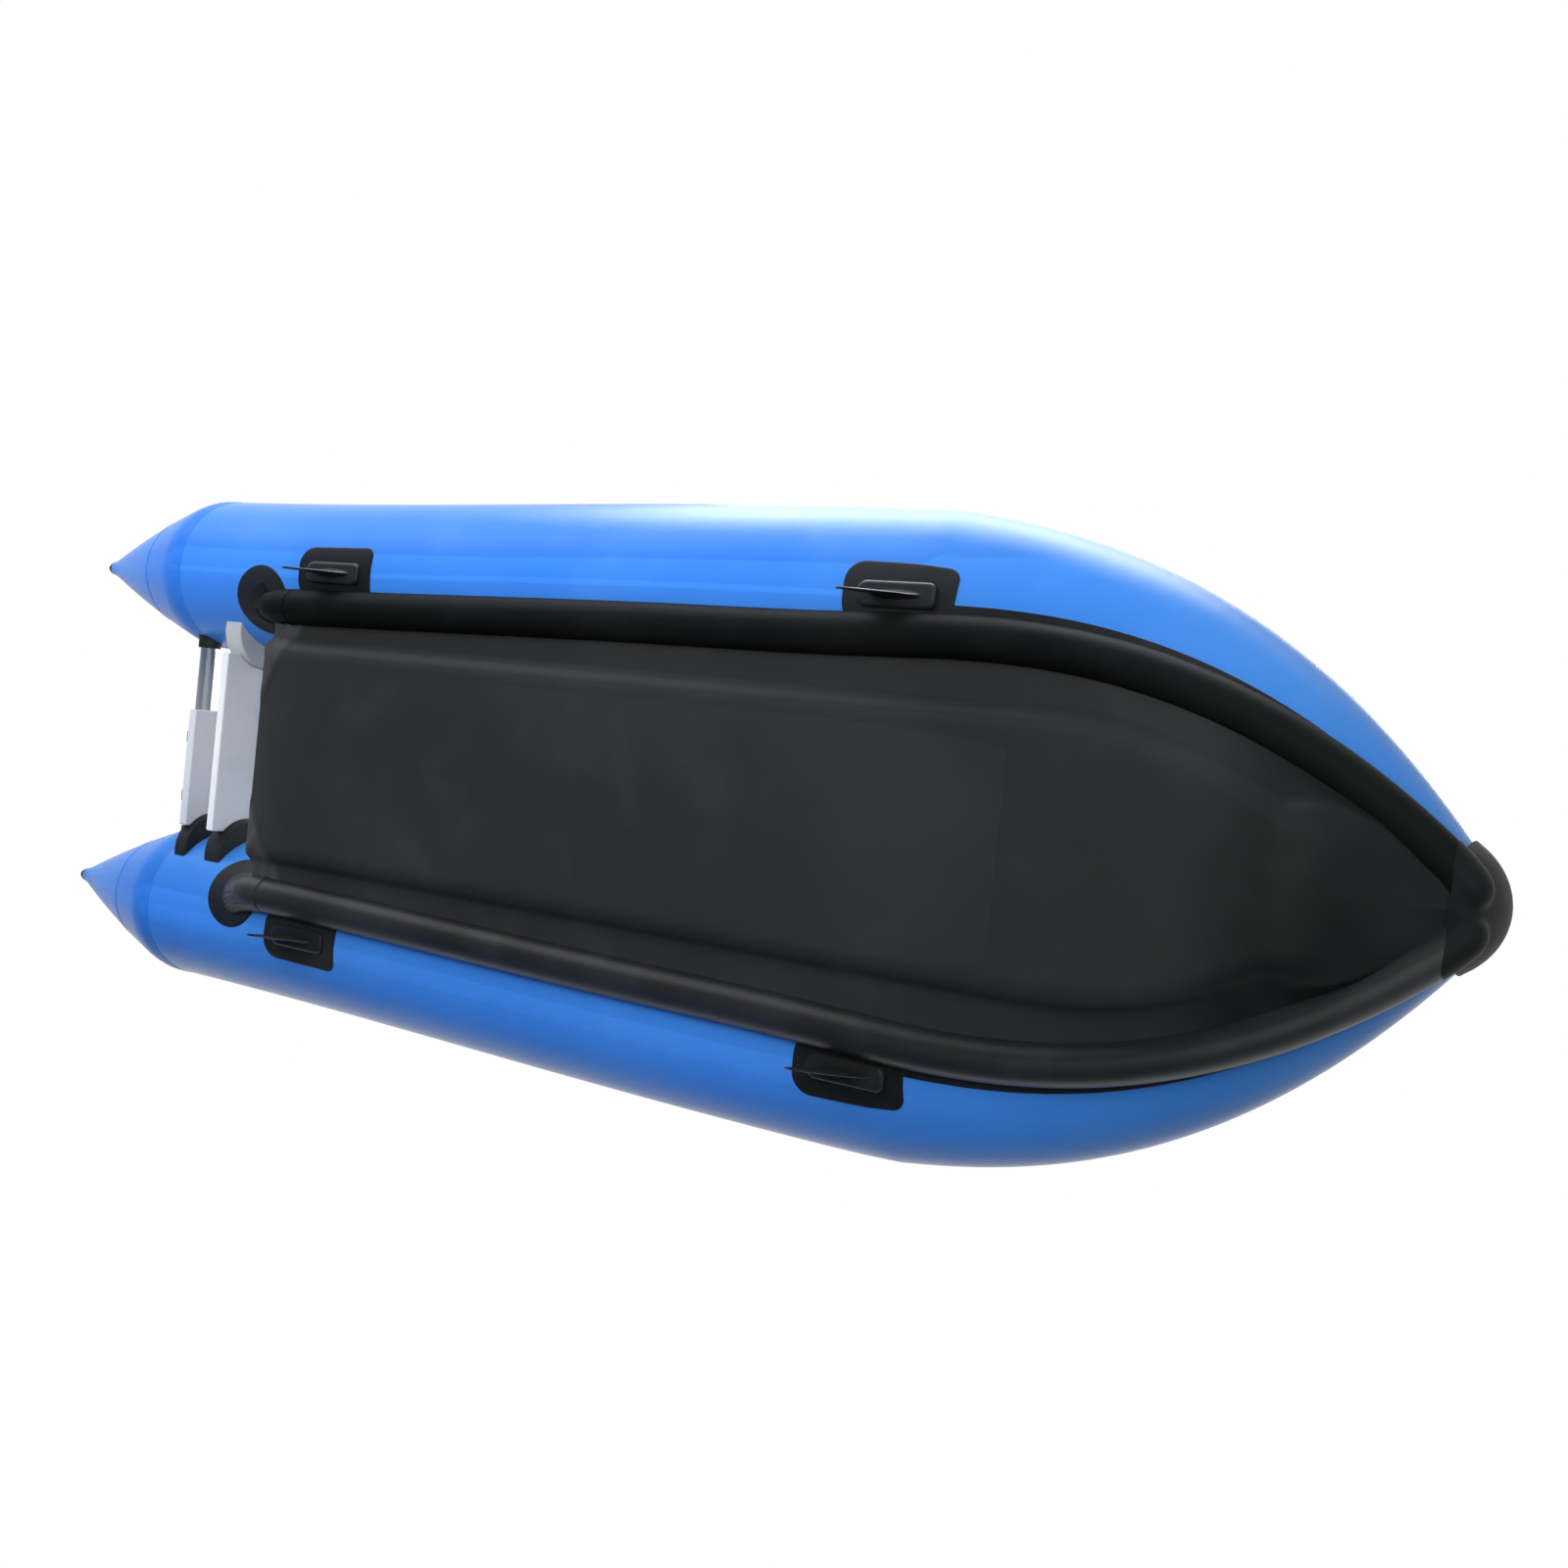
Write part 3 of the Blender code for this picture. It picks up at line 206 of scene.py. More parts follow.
# Hull tubes.
# Two air tubes of blue coated fabric. They swell a little and bend in together at the bow, where each is
# cut off at the boat's middle plane. The nose cap covers the cuts.
TUBE_RADIUS = 0.165
TUBE_BOW_RADIUS = 0.112
STERN_HALF_SPACING = 0.370
MID_HALF_SPACING = 0.394
SWELL_START = 0.05
PARALLEL_LENGTH = 1.683
BOW_LENGTH = 0.960
BOW_CURVE_POWER = 2.92
TAPER_START = 1.8702
TAPER_POWER = 0.9
BOW_RISE = 0.060
RISE_START = 1.92972
RISE_POWER = 1.5
BOW_END = PARALLEL_LENGTH + BOW_LENGTH
TUBE_AXIS_HEIGHT = 0.23716
STERN_X = -1.16610
TUBE_SIDES = 96
TUBE_STEP = 0.016
TUBE_END_LENGTH = 0.036
SLOPE_STEP = 0.002
MITRE_GAP = 0.0004
WEAVE_PITCH = 0.0014
WEAVE_HEIGHT = 0.00003
RIPPLE_HEIGHT = 0.0008
NO_GIRTH = 0.000001
CLOSING_STEP = 0.0002
SIDES = (("port", 1), ("starboard", -1))
BLUE = (0.052, 0.246, 0.730)
BLUE_WORN = (0.070, 0.280, 0.770)


def share(x, start, end):
    return min(max((x - start) / (end - start), 0.0), 1.0)


def half_spacing(x):
    swell = (1.0 - math.cos(math.pi * share(x, SWELL_START, PARALLEL_LENGTH))) / 2.0
    wide = STERN_HALF_SPACING + (MID_HALF_SPACING - STERN_HALF_SPACING) * swell
    bend = max((x - PARALLEL_LENGTH) / BOW_LENGTH, 0.0)
    return wide * (1.0 - bend ** BOW_CURVE_POWER)


def rise(x):
    return BOW_RISE * max((x - RISE_START) / (BOW_END - RISE_START), 0.0) ** RISE_POWER


def tube_radius(x):
    taper = share(x, TAPER_START, BOW_END) ** TAPER_POWER
    return TUBE_RADIUS - (TUBE_RADIUS - TUBE_BOW_RADIUS) * taper


def tube_axis(x, side):
    return Vector((STERN_X + x, side * half_spacing(x), TUBE_AXIS_HEIGHT + rise(x)))


def tube_frame(x, side):
    """Axis point, direction along the tube, direction outboard and direction up."""
    along = (tube_axis(x + SLOPE_STEP, side) - tube_axis(x - SLOPE_STEP, side)).normalized()
    up = Vector((0.0, 0.0, 1.0))
    up = (up - along * up.dot(along)).normalized()
    outboard = (along.cross(up) * -side).normalized()
    return tube_axis(x, side), along, outboard, up


def tube_out(x, side, angle):
    """Direction straight out of the tube, from straight down (0) towards outboard."""
    outboard, up = tube_frame(x, side)[2:]
    return (outboard * math.sin(angle) - up * math.cos(angle)).normalized()


def on_tube(x, side, angle, lift=0.0):
    return tube_axis(x, side) + tube_out(x, side, angle) * (tube_radius(x) + lift)


def new_tree(name, wanted, made):
    """An empty geometry tree with its inputs and its one output."""
    tree = bpy.data.node_groups.new(name, "GeometryNodeTree")
    for label, kind in wanted:
        tree.interface.new_socket(label, in_out="INPUT", socket_type="NodeSocket" + kind)
    tree.interface.new_socket(made, in_out="OUTPUT", socket_type="NodeSocketGeometry")
    flow = Flow(tree)
    return flow, flow.node("NodeGroupInput")


def finished(flow, given, made, shape):
    """Ends a tree with real faces in the finish that it was given."""
    shape = flow.node("GeometryNodeRealizeInstances", {}, {"Geometry": shape})
    shape = flow.node("GeometryNodeSetMaterial", {}, {"Geometry": shape, "Material": given["Finish"]})
    flow.node("NodeGroupOutput", {}, {made: shape})
    return flow.tree


def sweep_tree():
    """Sweeps a rounded outline along a path whose points carry their own girth and outward side."""
    flow, given = new_tree("swept_along_path", (
        ("Path", "Geometry"), ("Sides", "Int"), ("Height", "Float"), ("Width", "Float"),
        ("Squareness", "Float"), ("Girth Length", "Float"), ("Finish", "Material")), "Solid")

    def named(name, kind="FLOAT"):
        return flow.node("GeometryNodeInputNamedAttribute", {"data_type": kind}, {"Name": name})

    def stored(shape, name, value, kind="FLOAT", domain="POINT"):
        return flow.node("GeometryNodeStoreNamedAttribute", {"data_type": kind, "domain": domain}, {
            "Geometry": shape, "Name": name, "Value": value})

    def squared(value, reach):
        return value.maths("SIGN", value) * (abs(value) ** given["Squareness"]) * reach

    path = flow.node("GeometryNodeMeshToCurve", {}, {"Mesh": given["Path"]})
    path = flow.node("GeometryNodeSetCurveNormal", {"mode": "FREE"}, {
        "Curve": path, "Normal": named("outward", "FLOAT_VECTOR")})
    path = stored(path, "along", flow.node("GeometryNodeSplineParameter")["Length"])
    ring = flow.node("GeometryNodeCurveArc", {}, {
        "Resolution": given["Sides"] + 1, "Radius": 1.0, "Sweep Angle": 2 * math.pi})
    ring = stored(ring, "around", flow.node("GeometryNodeSplineParameter")["Factor"])
    spot = flow.node("GeometryNodeInputPosition").split()
    outline = flow.node("ShaderNodeCombineXYZ", {}, {
        "X": squared(spot["X"], given["Height"]), "Y": squared(spot["Y"], given["Width"])})
    ring = flow.node("GeometryNodeSetPosition", {}, {"Geometry": ring, "Position": outline})
    solid = flow.node("GeometryNodeCurveToMesh", {}, {
        "Curve": path, "Profile Curve": ring, "Scale": named("girth")})
    cloth = flow.node("ShaderNodeCombineXYZ", {}, {
        "X": named("along"), "Y": named("around") * given["Girth Length"]})
    solid = stored(solid, "cloth", cloth, "FLOAT2", "CORNER")
    solid = flow.node("GeometryNodeMergeByDistance", {}, {"Geometry": solid, "Distance": 0.00002})
    solid = flow.node("GeometryNodeSetShadeSmooth", {}, {"Geometry": solid})
    return finished(flow, given, "Solid", solid)


SWEEP = sweep_tree()


def evaluated(host):
    """The plain mesh that an object's modifiers make."""
    return bpy.data.meshes.new_from_object(host.evaluated_get(bpy.context.evaluated_depsgraph_get()))


def grown(name, tree, host_mesh, values):
    """Runs a geometry tree on a host mesh and keeps what it makes as a plain mesh."""
    host = linked(name, host_mesh)
    step = host.modifiers.new("grow", "NODES")
    step.node_group = tree
    for item in tree.interface.items_tree:
        if item.in_out == "INPUT" and item.name in values:
            step[item.identifier] = values[item.name]
    data = evaluated(host)
    host.modifiers.remove(step)
    bpy.data.objects.remove(host)
    return data


def piece(name, data, look=None, body="hull", slot=None, stands_for=(), smooth_angle=None):
    """Puts a finished mesh on its body, faces outwards, and hides the model parts it stands for."""
    if look:
        data.materials.clear()
        data.materials.append(look)
    mesh = bmesh.new()
    mesh.from_mesh(data)
    bmesh.ops.recalc_face_normals(mesh, faces=mesh.faces)
    mesh.to_mesh(data)
    mesh.free()
    data.polygons.foreach_set("use_smooth", [True] * len(data.polygons))
    if smooth_angle is not None:
        data.set_sharp_from_angle(angle=math.radians(smooth_angle))
    data.name = name
    obj = linked(name, data)
    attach(obj, body)
    if stands_for:
        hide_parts(*stands_for)
    return obj


def path_mesh(points, girths, outwards, closed=False):
    data = bpy.data.meshes.new("path")
    count = len(points)
    edges = [(i, i + 1) for i in range(count - 1)] + ([(count - 1, 0)] if closed else [])
    data.from_pydata([tuple(p) for p in points], edges, [])
    data.attributes.new("girth", "FLOAT", "POINT").data.foreach_set("value", girths)
    flat = [c for v in outwards for c in v]
    data.attributes.new("outward", "FLOAT_VECTOR", "POINT").data.foreach_set("vector", flat)
    return data


def swept(name, points, girths, outwards, look, sides=24, height=1.0, width=1.0, square=1.0,
          girth_length=0.1, closed=False, **details):
    values = {"Sides": sides, "Height": height, "Width": width, "Squareness": square,
              "Girth Length": girth_length, "Finish": look}
    data = grown(name, SWEEP, path_mesh(points, girths, outwards, closed), values)
    return piece(name, data, **details)


def capped(points, girths, outwards):
    """The same path with a point of no girth just beyond each end, which closes the swept shape."""
    first = points[0] + (points[0] - points[1]).normalized() * CLOSING_STEP
    last = points[-1] + (points[-1] - points[-2]).normalized() * CLOSING_STEP
    girths = [NO_GIRTH] + girths + [NO_GIRTH]
    return [first] + points + [last], girths, outwards[:1] + outwards + outwards[-1:]


def new_look(name, colour, roughness, specular, metallic=0.0):
    """A material with its constant values set on the shader itself."""
    look = bpy.data.materials.new(name)
    look.use_nodes = True
    shader = look.node_tree.nodes["Principled BSDF"]
    shader.inputs["Base Color"].default_value = opaque(colour)
    shader.inputs["Roughness"].default_value = roughness
    shader.inputs["Specular IOR Level"].default_value = specular
    shader.inputs["Metallic"].default_value = metallic
    return look, Flow(look.node_tree), shader


def shaded(flow, shader, mask, colour, worn, roughness, height):
    """Gives a shader two colours mixed by a mask, its roughness and its relief in metres."""
    flow.feed(shader.inputs["Base Color"], mask.tint(opaque(colour), opaque(worn)))
    flow.feed(shader.inputs["Roughness"], roughness)
    bump = flow.node("ShaderNodeBump", {}, {"Strength": 1.0, "Distance": 1.0, "Height": height})
    flow.feed(shader.inputs["Normal"], bump)


def coated_cloth(name, colour, worn, roughness, specular, paler=None):
    """Woven base cloth under a thick plastic coat: faint weave, slow ripples, rubbed and dusty places."""
    look, flow, shader = new_look(name, colour, roughness, specular)
    place = flow.place()
    thread = flow.node("ShaderNodeUVMap", {"uv_map": "cloth"})
    spot = thread.split()
    pitch = 2 * math.pi / WEAVE_PITCH
    threads = (spot["X"] * pitch).sine() * (spot["Y"] * pitch).sine()
    cloud, rub = place.noise(2.2, 4.0), place.noise(9.0, 6.0)
    swell = thread.stretched((9.0, 2.5, 1.0)).noise(1.0, 3.0)
    grime_and_painted_light = cloud.between(0.42, 0.68) * 0.5 + rub.between(0.50, 0.80) * 0.4
    # A paler share, where one is given, joins the grime here; the skin's share holds wear and painted light.
    if paler:
        grime_and_painted_light = grime_and_painted_light * 0.25 + paler(place.split())
    height = threads * WEAVE_HEIGHT + swell * RIPPLE_HEIGHT + rub * (RIPPLE_HEIGHT * 0.12)
    shaded(flow, shader, grime_and_painted_light, colour, worn, roughness + grime_and_painted_light * 0.10 - (1.0 - grime_and_painted_light) * 0.02, height)
    return look


def mitred(data, side):
    """Cuts off what reaches over the boat's middle plane and closes the cut."""
    mesh = bmesh.new()
    mesh.from_mesh(data)
    parts = mesh.verts[:] + mesh.edges[:] + mesh.faces[:]
    cut = bmesh.ops.bisect_plane(mesh, geom=parts, plane_co=(0.0, side * MITRE_GAP, 0.0),
                                 plane_no=(0.0, -side, 0.0), clear_outer=True)
    rim = [e for e in cut["geom_cut"] if isinstance(e, bmesh.types.BMEdge)]
    bmesh.ops.holes_fill(mesh, edges=rim, sides=0)
    bmesh.ops.recalc_face_normals(mesh, faces=mesh.faces)
    mesh.to_mesh(data)
    mesh.free()


blue_cloth = coated_cloth("blue_coated_cloth", BLUE, BLUE_WORN, 0.18, 0.12)
hull_x = list(np.arange(0.0, BOW_END, TUBE_STEP)) + [BOW_END]
for label, side in SIDES:
    points = [tube_axis(x, side) for x in hull_x]
    girths = [tube_radius(x) for x in hull_x]
    outwards = [-tube_frame(x, side)[3] for x in hull_x]
    points.append(points[-1] + (points[-1] - points[-2]).normalized() * TUBE_END_LENGTH)
    path = capped(points, girths + girths[-1:], outwards + outwards[-1:])
    tube = swept(label + "_hull_tube", *path, blue_cloth, sides=TUBE_SIDES,
                 girth_length=2 * math.pi * TUBE_RADIUS, slot="blue_hull", stands_for=(label + "_tube",))
    mitred(tube.data, side)

# Stern cones.
# Each tube is closed at the stern by a cone of the same blue fabric. One welded tape covers the joint at
# its base and another runs round it nearer the tip. A moulded rubber cap protects the tip.
CONE_LENGTH = 0.420
CONE_STRAIGHT = 0.955
CONE_TIP_RADIUS = 0.013
CONE_BULGE = 0.006
CONE_SHOULDER = 0.030
CONE_SEAM = 0.262
GAP = 0.0004
BLACK = (0.0088, 0.0100, 0.0108)
BLACK_WORN = (0.030, 0.032, 0.033)
# The cones' blue is a darker copy of the tubes' blue: painted shade on the stern cones.
CONE_PAINTED_SHADE_BLUE = (0.036, 0.205, 0.660)
CONE_STEPS = 44
CONE_TAPES = (("base", -0.010, 0.016), ("fan", CONE_LENGTH - CONE_SEAM, 0.013))
DOWN = Vector((0.0, 0.0, -1.0))
TIP_PROFILE = (
    (-0.0002, 0.0), (0.0, 0.0140), (0.0012, 0.0145), (0.0040, 0.0145), (0.0075, 0.0136), (0.0125, 0.0112),
    (0.0175, 0.0082), (0.0205, 0.0060), (0.0218, 0.0036), (0.0220, 0.0),
)


def around(count):
    """Angles of evenly spaced points round a circle."""
    return [2 * math.pi * k / count for k in range(count)]


def cone_radius(d):
    """Radius at a distance from the cone's tip, with a rounded shoulder."""
    total = 0.0
    for k in range(-4, 5):
        t = share(d + CONE_SHOULDER * k / 5, 0.0, CONE_LENGTH * CONE_STRAIGHT)
        total += CONE_TIP_RADIUS + (TUBE_RADIUS - CONE_TIP_RADIUS) * t + CONE_BULGE * math.sin(math.pi * t)
    return total / 9


def moulded(name, colour, worn, roughness, specular, grain=0.00012, scale=900.0):
    """Moulded rubber or plastic: fine pebble grain, faint flow clouds and paler, smoother edges."""
    look, flow, shader = new_look(name, colour, roughness, specular)
    pebble, cloud = flow.place().noise(scale, 2.0), flow.place().noise(22.0, 5.0)
    edge = flow.node("ShaderNodeNewGeometry")["Pointiness"].between(0.52, 0.62)
    mask = edge * 0.7 + cloud.between(0.5, 0.8) * 0.35
    shaded(flow, shader, mask, colour, worn, roughness + cloud * 0.12 - edge * 0.08,
           pebble * grain + cloud * 0.0002)
    return look


# The cone cloth is the tube cloth drawn darker, as painted shade.
cone_cloth_painted_shade = coated_cloth("cone_cloth_painted_shade", CONE_PAINTED_SHADE_BLUE, BLUE, 0.24, 0.06)
tip_rubber = moulded("tip_rubber", BLACK, BLACK_WORN, 0.5, 0.15)
for label, side in SIDES:
    base = Vector((STERN_X - GAP, side * STERN_HALF_SPACING, TUBE_AXIS_HEIGHT))
    reach = [CONE_LENGTH * k / CONE_STEPS for k in range(CONE_STEPS + 1)]
    girths = [TUBE_RADIUS] + [cone_radius(CONE_LENGTH - d) for d in reach[1:]]
    path = capped([base - Vector((d, 0.0, 0.0)) for d in reach], girths, [DOWN] * len(reach))
    swept(label + "_cone", *path, cone_cloth_painted_shade, sides=TUBE_SIDES, girth_length=2 * math.pi * TUBE_RADIUS,
          slot="blue_hull", stands_for=(label + "_stern_cone",))
    for tag, d, lap in CONE_TAPES:
        outs = [Vector((0.0, math.sin(turn), -math.cos(turn))) for turn in around(TUBE_SIDES)]
        radius, slope, to_tip = TUBE_RADIUS, 0.0, CONE_LENGTH - d
        if d > 0:
            radius = cone_radius(to_tip)
            slope = (cone_radius(to_tip - 0.01) - cone_radius(to_tip + 0.01)) / 0.02
        at = base - Vector((d, 0.0, 0.0))
        lean = [(out + Vector((slope, 0.0, 0.0))).normalized() for out in outs]
        swept(label + "_cone_" + tag + "_tape", [at + out * radius for out in outs], [1.0] * TUBE_SIDES, lean,
              cone_cloth_painted_shade, sides=16, height=0.0007, width=lap, square=0.35, closed=True, slot="blue_hull")
    tip = base - Vector((CONE_LENGTH + GAP, 0.0, 0.0))
    swept(label + "_tip", [tip - Vector((d, 0.0, 0.0)) for d, r in TIP_PROFILE],
          [max(r, NO_GIRTH) for d, r in TIP_PROFILE], [DOWN] * len(TIP_PROFILE), tip_rubber, sides=32,
          slot="moulded_black", stands_for=(label + "_cone_tip_cap",), smooth_angle=60)

# Keel tubes.
# A thinner air tube of black coated fabric runs low along the inner side of each hull tube and rolls to its
# outer side at the bow. It starts in a puckered sleeve on a round patch. A flat tape seals its outer edge.
KEEL_RADIUS = 0.037
KEEL_BOW_RADIUS = 0.029
KEEL_SEAT = 0.018
KEEL_BOW_SEAT = 0.022
KEEL_ANGLE = math.radians(23.5)
KEEL_BOW_TURN = math.radians(68.0)
KEEL_TURN_START = 1.45
KEEL_TURN_POWER = 2.87
KEEL_START = 0.326
KEEL_END = 2.652
KEEL_NECK_LENGTH = 0.055
KEEL_NECK_RADIUS = 0.028
KEEL_PATCH_RADIUS = 0.080
KEEL_PATCH_X = 0.290
SLEEVE_RINGS = 22
SLEEVE_SIDES = 120
SLEEVE_FOOT = 0.050
SLEEVE_FOLD = 0.0016
SLEEVE_LENGTH = 0.085
SLEEVE_FOLDS = (13.0, 29.0)
KEEL_TAPE_HALF = 0.011
KEEL_TAPE_ENDS = (1.80, 2.60)
SHEET_TOP = 0.0020
SHEET_RIM = ((0.0, -0.0004), (0.0, 0.0011), (0.0005, 0.0017), (0.0014, SHEET_TOP))
SHEET_RINGS = 9
SHEET_STEP = 0.008
DISC_POINTS = 56
CORNER_STEPS = 8
CLOTH_WORN = (0.018, 0.020, 0.021)
# The port keel cloth is paler than the starboard one: a painted sheen on the lit port keel and painted shade
# on the starboard keel under its hull tube.
PORT_KEEL_PAINTED_SHEEN_BLACK, PORT_KEEL_PAINTED_SHEEN_WORN = (0.014, 0.015, 0.016), (0.030, 0.032, 0.034)
STARBOARD_KEEL_PAINTED_SHADE_BLACK, STARBOARD_KEEL_PAINTED_SHADE_WORN = (0.0055, 0.0060, 0.0062), (0.012, 0.013, 0.013)


def as_mesh(mesh):
    data = bpy.data.meshes.new("shape")
    mesh.to_mesh(data)
    mesh.free()
    return data


def skinned(rows, closed_rows=True, close_ends=True, cloth=None):
    """Joins a row of matching rings into one mesh, with the cloth's own map where it is given."""
    mesh = bmesh.new()
    layer = mesh.loops.layers.uv.new("cloth")
    made = [[mesh.verts.new(p) for p in row] for row in rows]
    count = len(made[0])
    last = count if closed_rows else count - 1
    for i in range(len(made) - 1):
        for k in range(last):
            j = (k + 1) % count
            face = mesh.faces.new((made[i][k], made[i][j], made[i + 1][j], made[i + 1][k]))
            if cloth:
                spots = ((i, k), (i, k + 1), (i + 1, k + 1), (i + 1, k))
                for loop, (a, b) in zip(face.loops, spots):
                    loop[layer].uv = cloth(a, b)
    if close_ends:
        for row, index in ((made[0], 0), (made[-1], len(made) - 1)):
            centre = mesh.verts.new(sum((v.co for v in row), Vector()) / count)
            for k in range(count):
                face = mesh.faces.new((row[k], row[(k + 1) % count], centre))
                if cloth:
                    for loop in face.loops:
                        loop[layer].uv = cloth(index, k)
    bmesh.ops.remove_doubles(mesh, verts=mesh.verts, dist=0.00001)
    return as_mesh(mesh)


def refined(outline, step):
    """The same closed outline with points no further apart than step."""
    points = []
    for (ax, ay), (bx, by) in zip(outline, outline[1:] + outline[:1]):
        count = max(1, math.ceil(math.hypot(bx - ax, by - ay) / step))
        points += [(ax + (bx - ax) * k / count, ay + (by - ay) * k / count) for k in range(count)]
    return points


def rounded_outline(length, width, fore_corner, aft_corner):
    corners = (
        (length / 2 - fore_corner, width / 2 - fore_corner, fore_corner, 0.0),
        (-length / 2 + aft_corner, width / 2 - aft_corner, aft_corner, 90.0),
        (-length / 2 + aft_corner, -width / 2 + aft_corner, aft_corner, 180.0),
        (length / 2 - fore_corner, -width / 2 + fore_corner, fore_corner, 270.0),
    )
    points = []
    for cx, cy, radius, start in corners:
        for k in range(CORNER_STEPS + 1):
            turn = math.radians(start + 90.0 * k / CORNER_STEPS)
            points.append((cx + radius * math.cos(turn), cy + radius * math.sin(turn)))
    return points


def disc_outline(radius):
    return [(radius * math.cos(turn), radius * math.sin(turn)) for turn in around(DISC_POINTS)]


def laid_sheet(name, outline, profile, place, look, **details):
    """A cut sheet laid on a curved surface. The profile runs from its rim inwards: inset and lift."""
    outline, rings = refined(outline, SHEET_STEP), SHEET_RINGS
    half_u, half_v = max(u for u, v in outline), max(v for u, v in outline)
    reach, (top, top_lift) = min(half_u, half_v) * 0.97, profile[-1]
    levels = [(k * reach / rings, profile[0][1]) for k in range(rings - 1, -1, -1)] + list(profile[1:])
    levels += [(top + k * (reach - top) / rings, top_lift) for k in range(1, rings)]
    rows, flat = [], []
    for inset, lift in levels:
        su, sv = max(1.0 - inset / half_u, 0.0), max(1.0 - inset / half_v, 0.0)
        flat.append([(u * su, v * sv) for u, v in outline])
        rows.append([place(u, v, lift) for u, v in flat[-1]])
    data = skinned(rows, cloth=lambda i, k: flat[i][k % len(outline)])
    return piece(name, data, look, smooth_angle=50, **details)


def tube_place(x, side, angle):
    """Where a point of a flat sheet goes when its middle is laid on the hull tube."""
    def place(u, v, lift):
        return on_tube(x + u, side, angle + v / tube_radius(x), lift)
    return place


def keel_swing(x):
    return share(x, KEEL_TURN_START, BOW_END) ** KEEL_TURN_POWER


def keel_angle(x):
    return KEEL_ANGLE - KEEL_BOW_TURN * keel_swing(x)


def keel_reach(x):
    return tube_radius(x) + KEEL_SEAT + (KEEL_BOW_SEAT - KEEL_SEAT) * keel_swing(x)


def keel_point(x, side):
    return tube_axis(x, side) + tube_out(x, side, -keel_angle(x)) * keel_reach(x)


def keel_radius(x):
    full = KEEL_RADIUS + (KEEL_BOW_RADIUS - KEEL_RADIUS) * keel_swing(x)
    neck = share(x, KEEL_START, KEEL_START + KEEL_NECK_LENGTH)
    return KEEL_NECK_RADIUS + (full - KEEL_NECK_RADIUS) * math.sin(math.pi / 2 * neck)


def keel_foot(x, spread):
    """Angle on the hull tube where the keel tube's outer edge lies, moved outboard by a length."""
    hull, reach, own = tube_radius(x), keel_reach(x), keel_radius(x)
    half = math.acos((hull ** 2 + reach ** 2 - own ** 2) / (2 * hull * reach))
    return -keel_angle(x) + half + spread / hull


def keel_sleeve(side):
    """Gathered cloth that runs from the round patch onto the keel tube, as rings from foot to mouth."""
    foot_x, mouth_x = KEEL_PATCH_X + 0.012, KEEL_START + SLEEVE_LENGTH
    out, along = tube_out(foot_x, side, -KEEL_ANGLE), tube_frame(foot_x, side)[1]
    across = out.cross(along).normalized()
    neck, mouth = keel_point(KEEL_START + 0.012, side), keel_point(mouth_x, side)
    lay = tube_place(foot_x, side, -KEEL_ANGLE)
    rows = []
    for i in range(SLEEVE_RINGS + 1):
        t = i / SLEEVE_RINGS
        row = []
        for turn in around(SLEEVE_SIDES):
            c, s = math.cos(turn), math.sin(turn)
            a = lay(SLEEVE_FOOT * c, -SLEEVE_FOOT * s, 0.0018)
            b = neck + (along * c * 0.35 - out * c * 0.94 + across * s) * (keel_radius(mouth_x) + 0.002)
            d = mouth + (across * s - out * c) * (keel_radius(mouth_x) + 0.0006)
            fold = math.sin(turn * SLEEVE_FOLDS[0] + 5.0 * math.sin(turn * 3.0 + side))
            fold += 0.6 * math.sin(turn * SLEEVE_FOLDS[1] + 9.0 * t)
            fade = max(1.0 - t * 1.15, 0.0) * min(t * 6.0, 1.0)
            swell = (across * s - out * c).normalized() * SLEEVE_FOLD * fold * fade
            row.append(a * (1.0 - t) ** 2 + b * (2.0 * t * (1.0 - t)) + d * t ** 2 + swell)
        rows.append(row)
    return rows


black_cloth = coated_cloth("black_coated_cloth", BLACK, CLOTH_WORN, 0.48, 0.22)
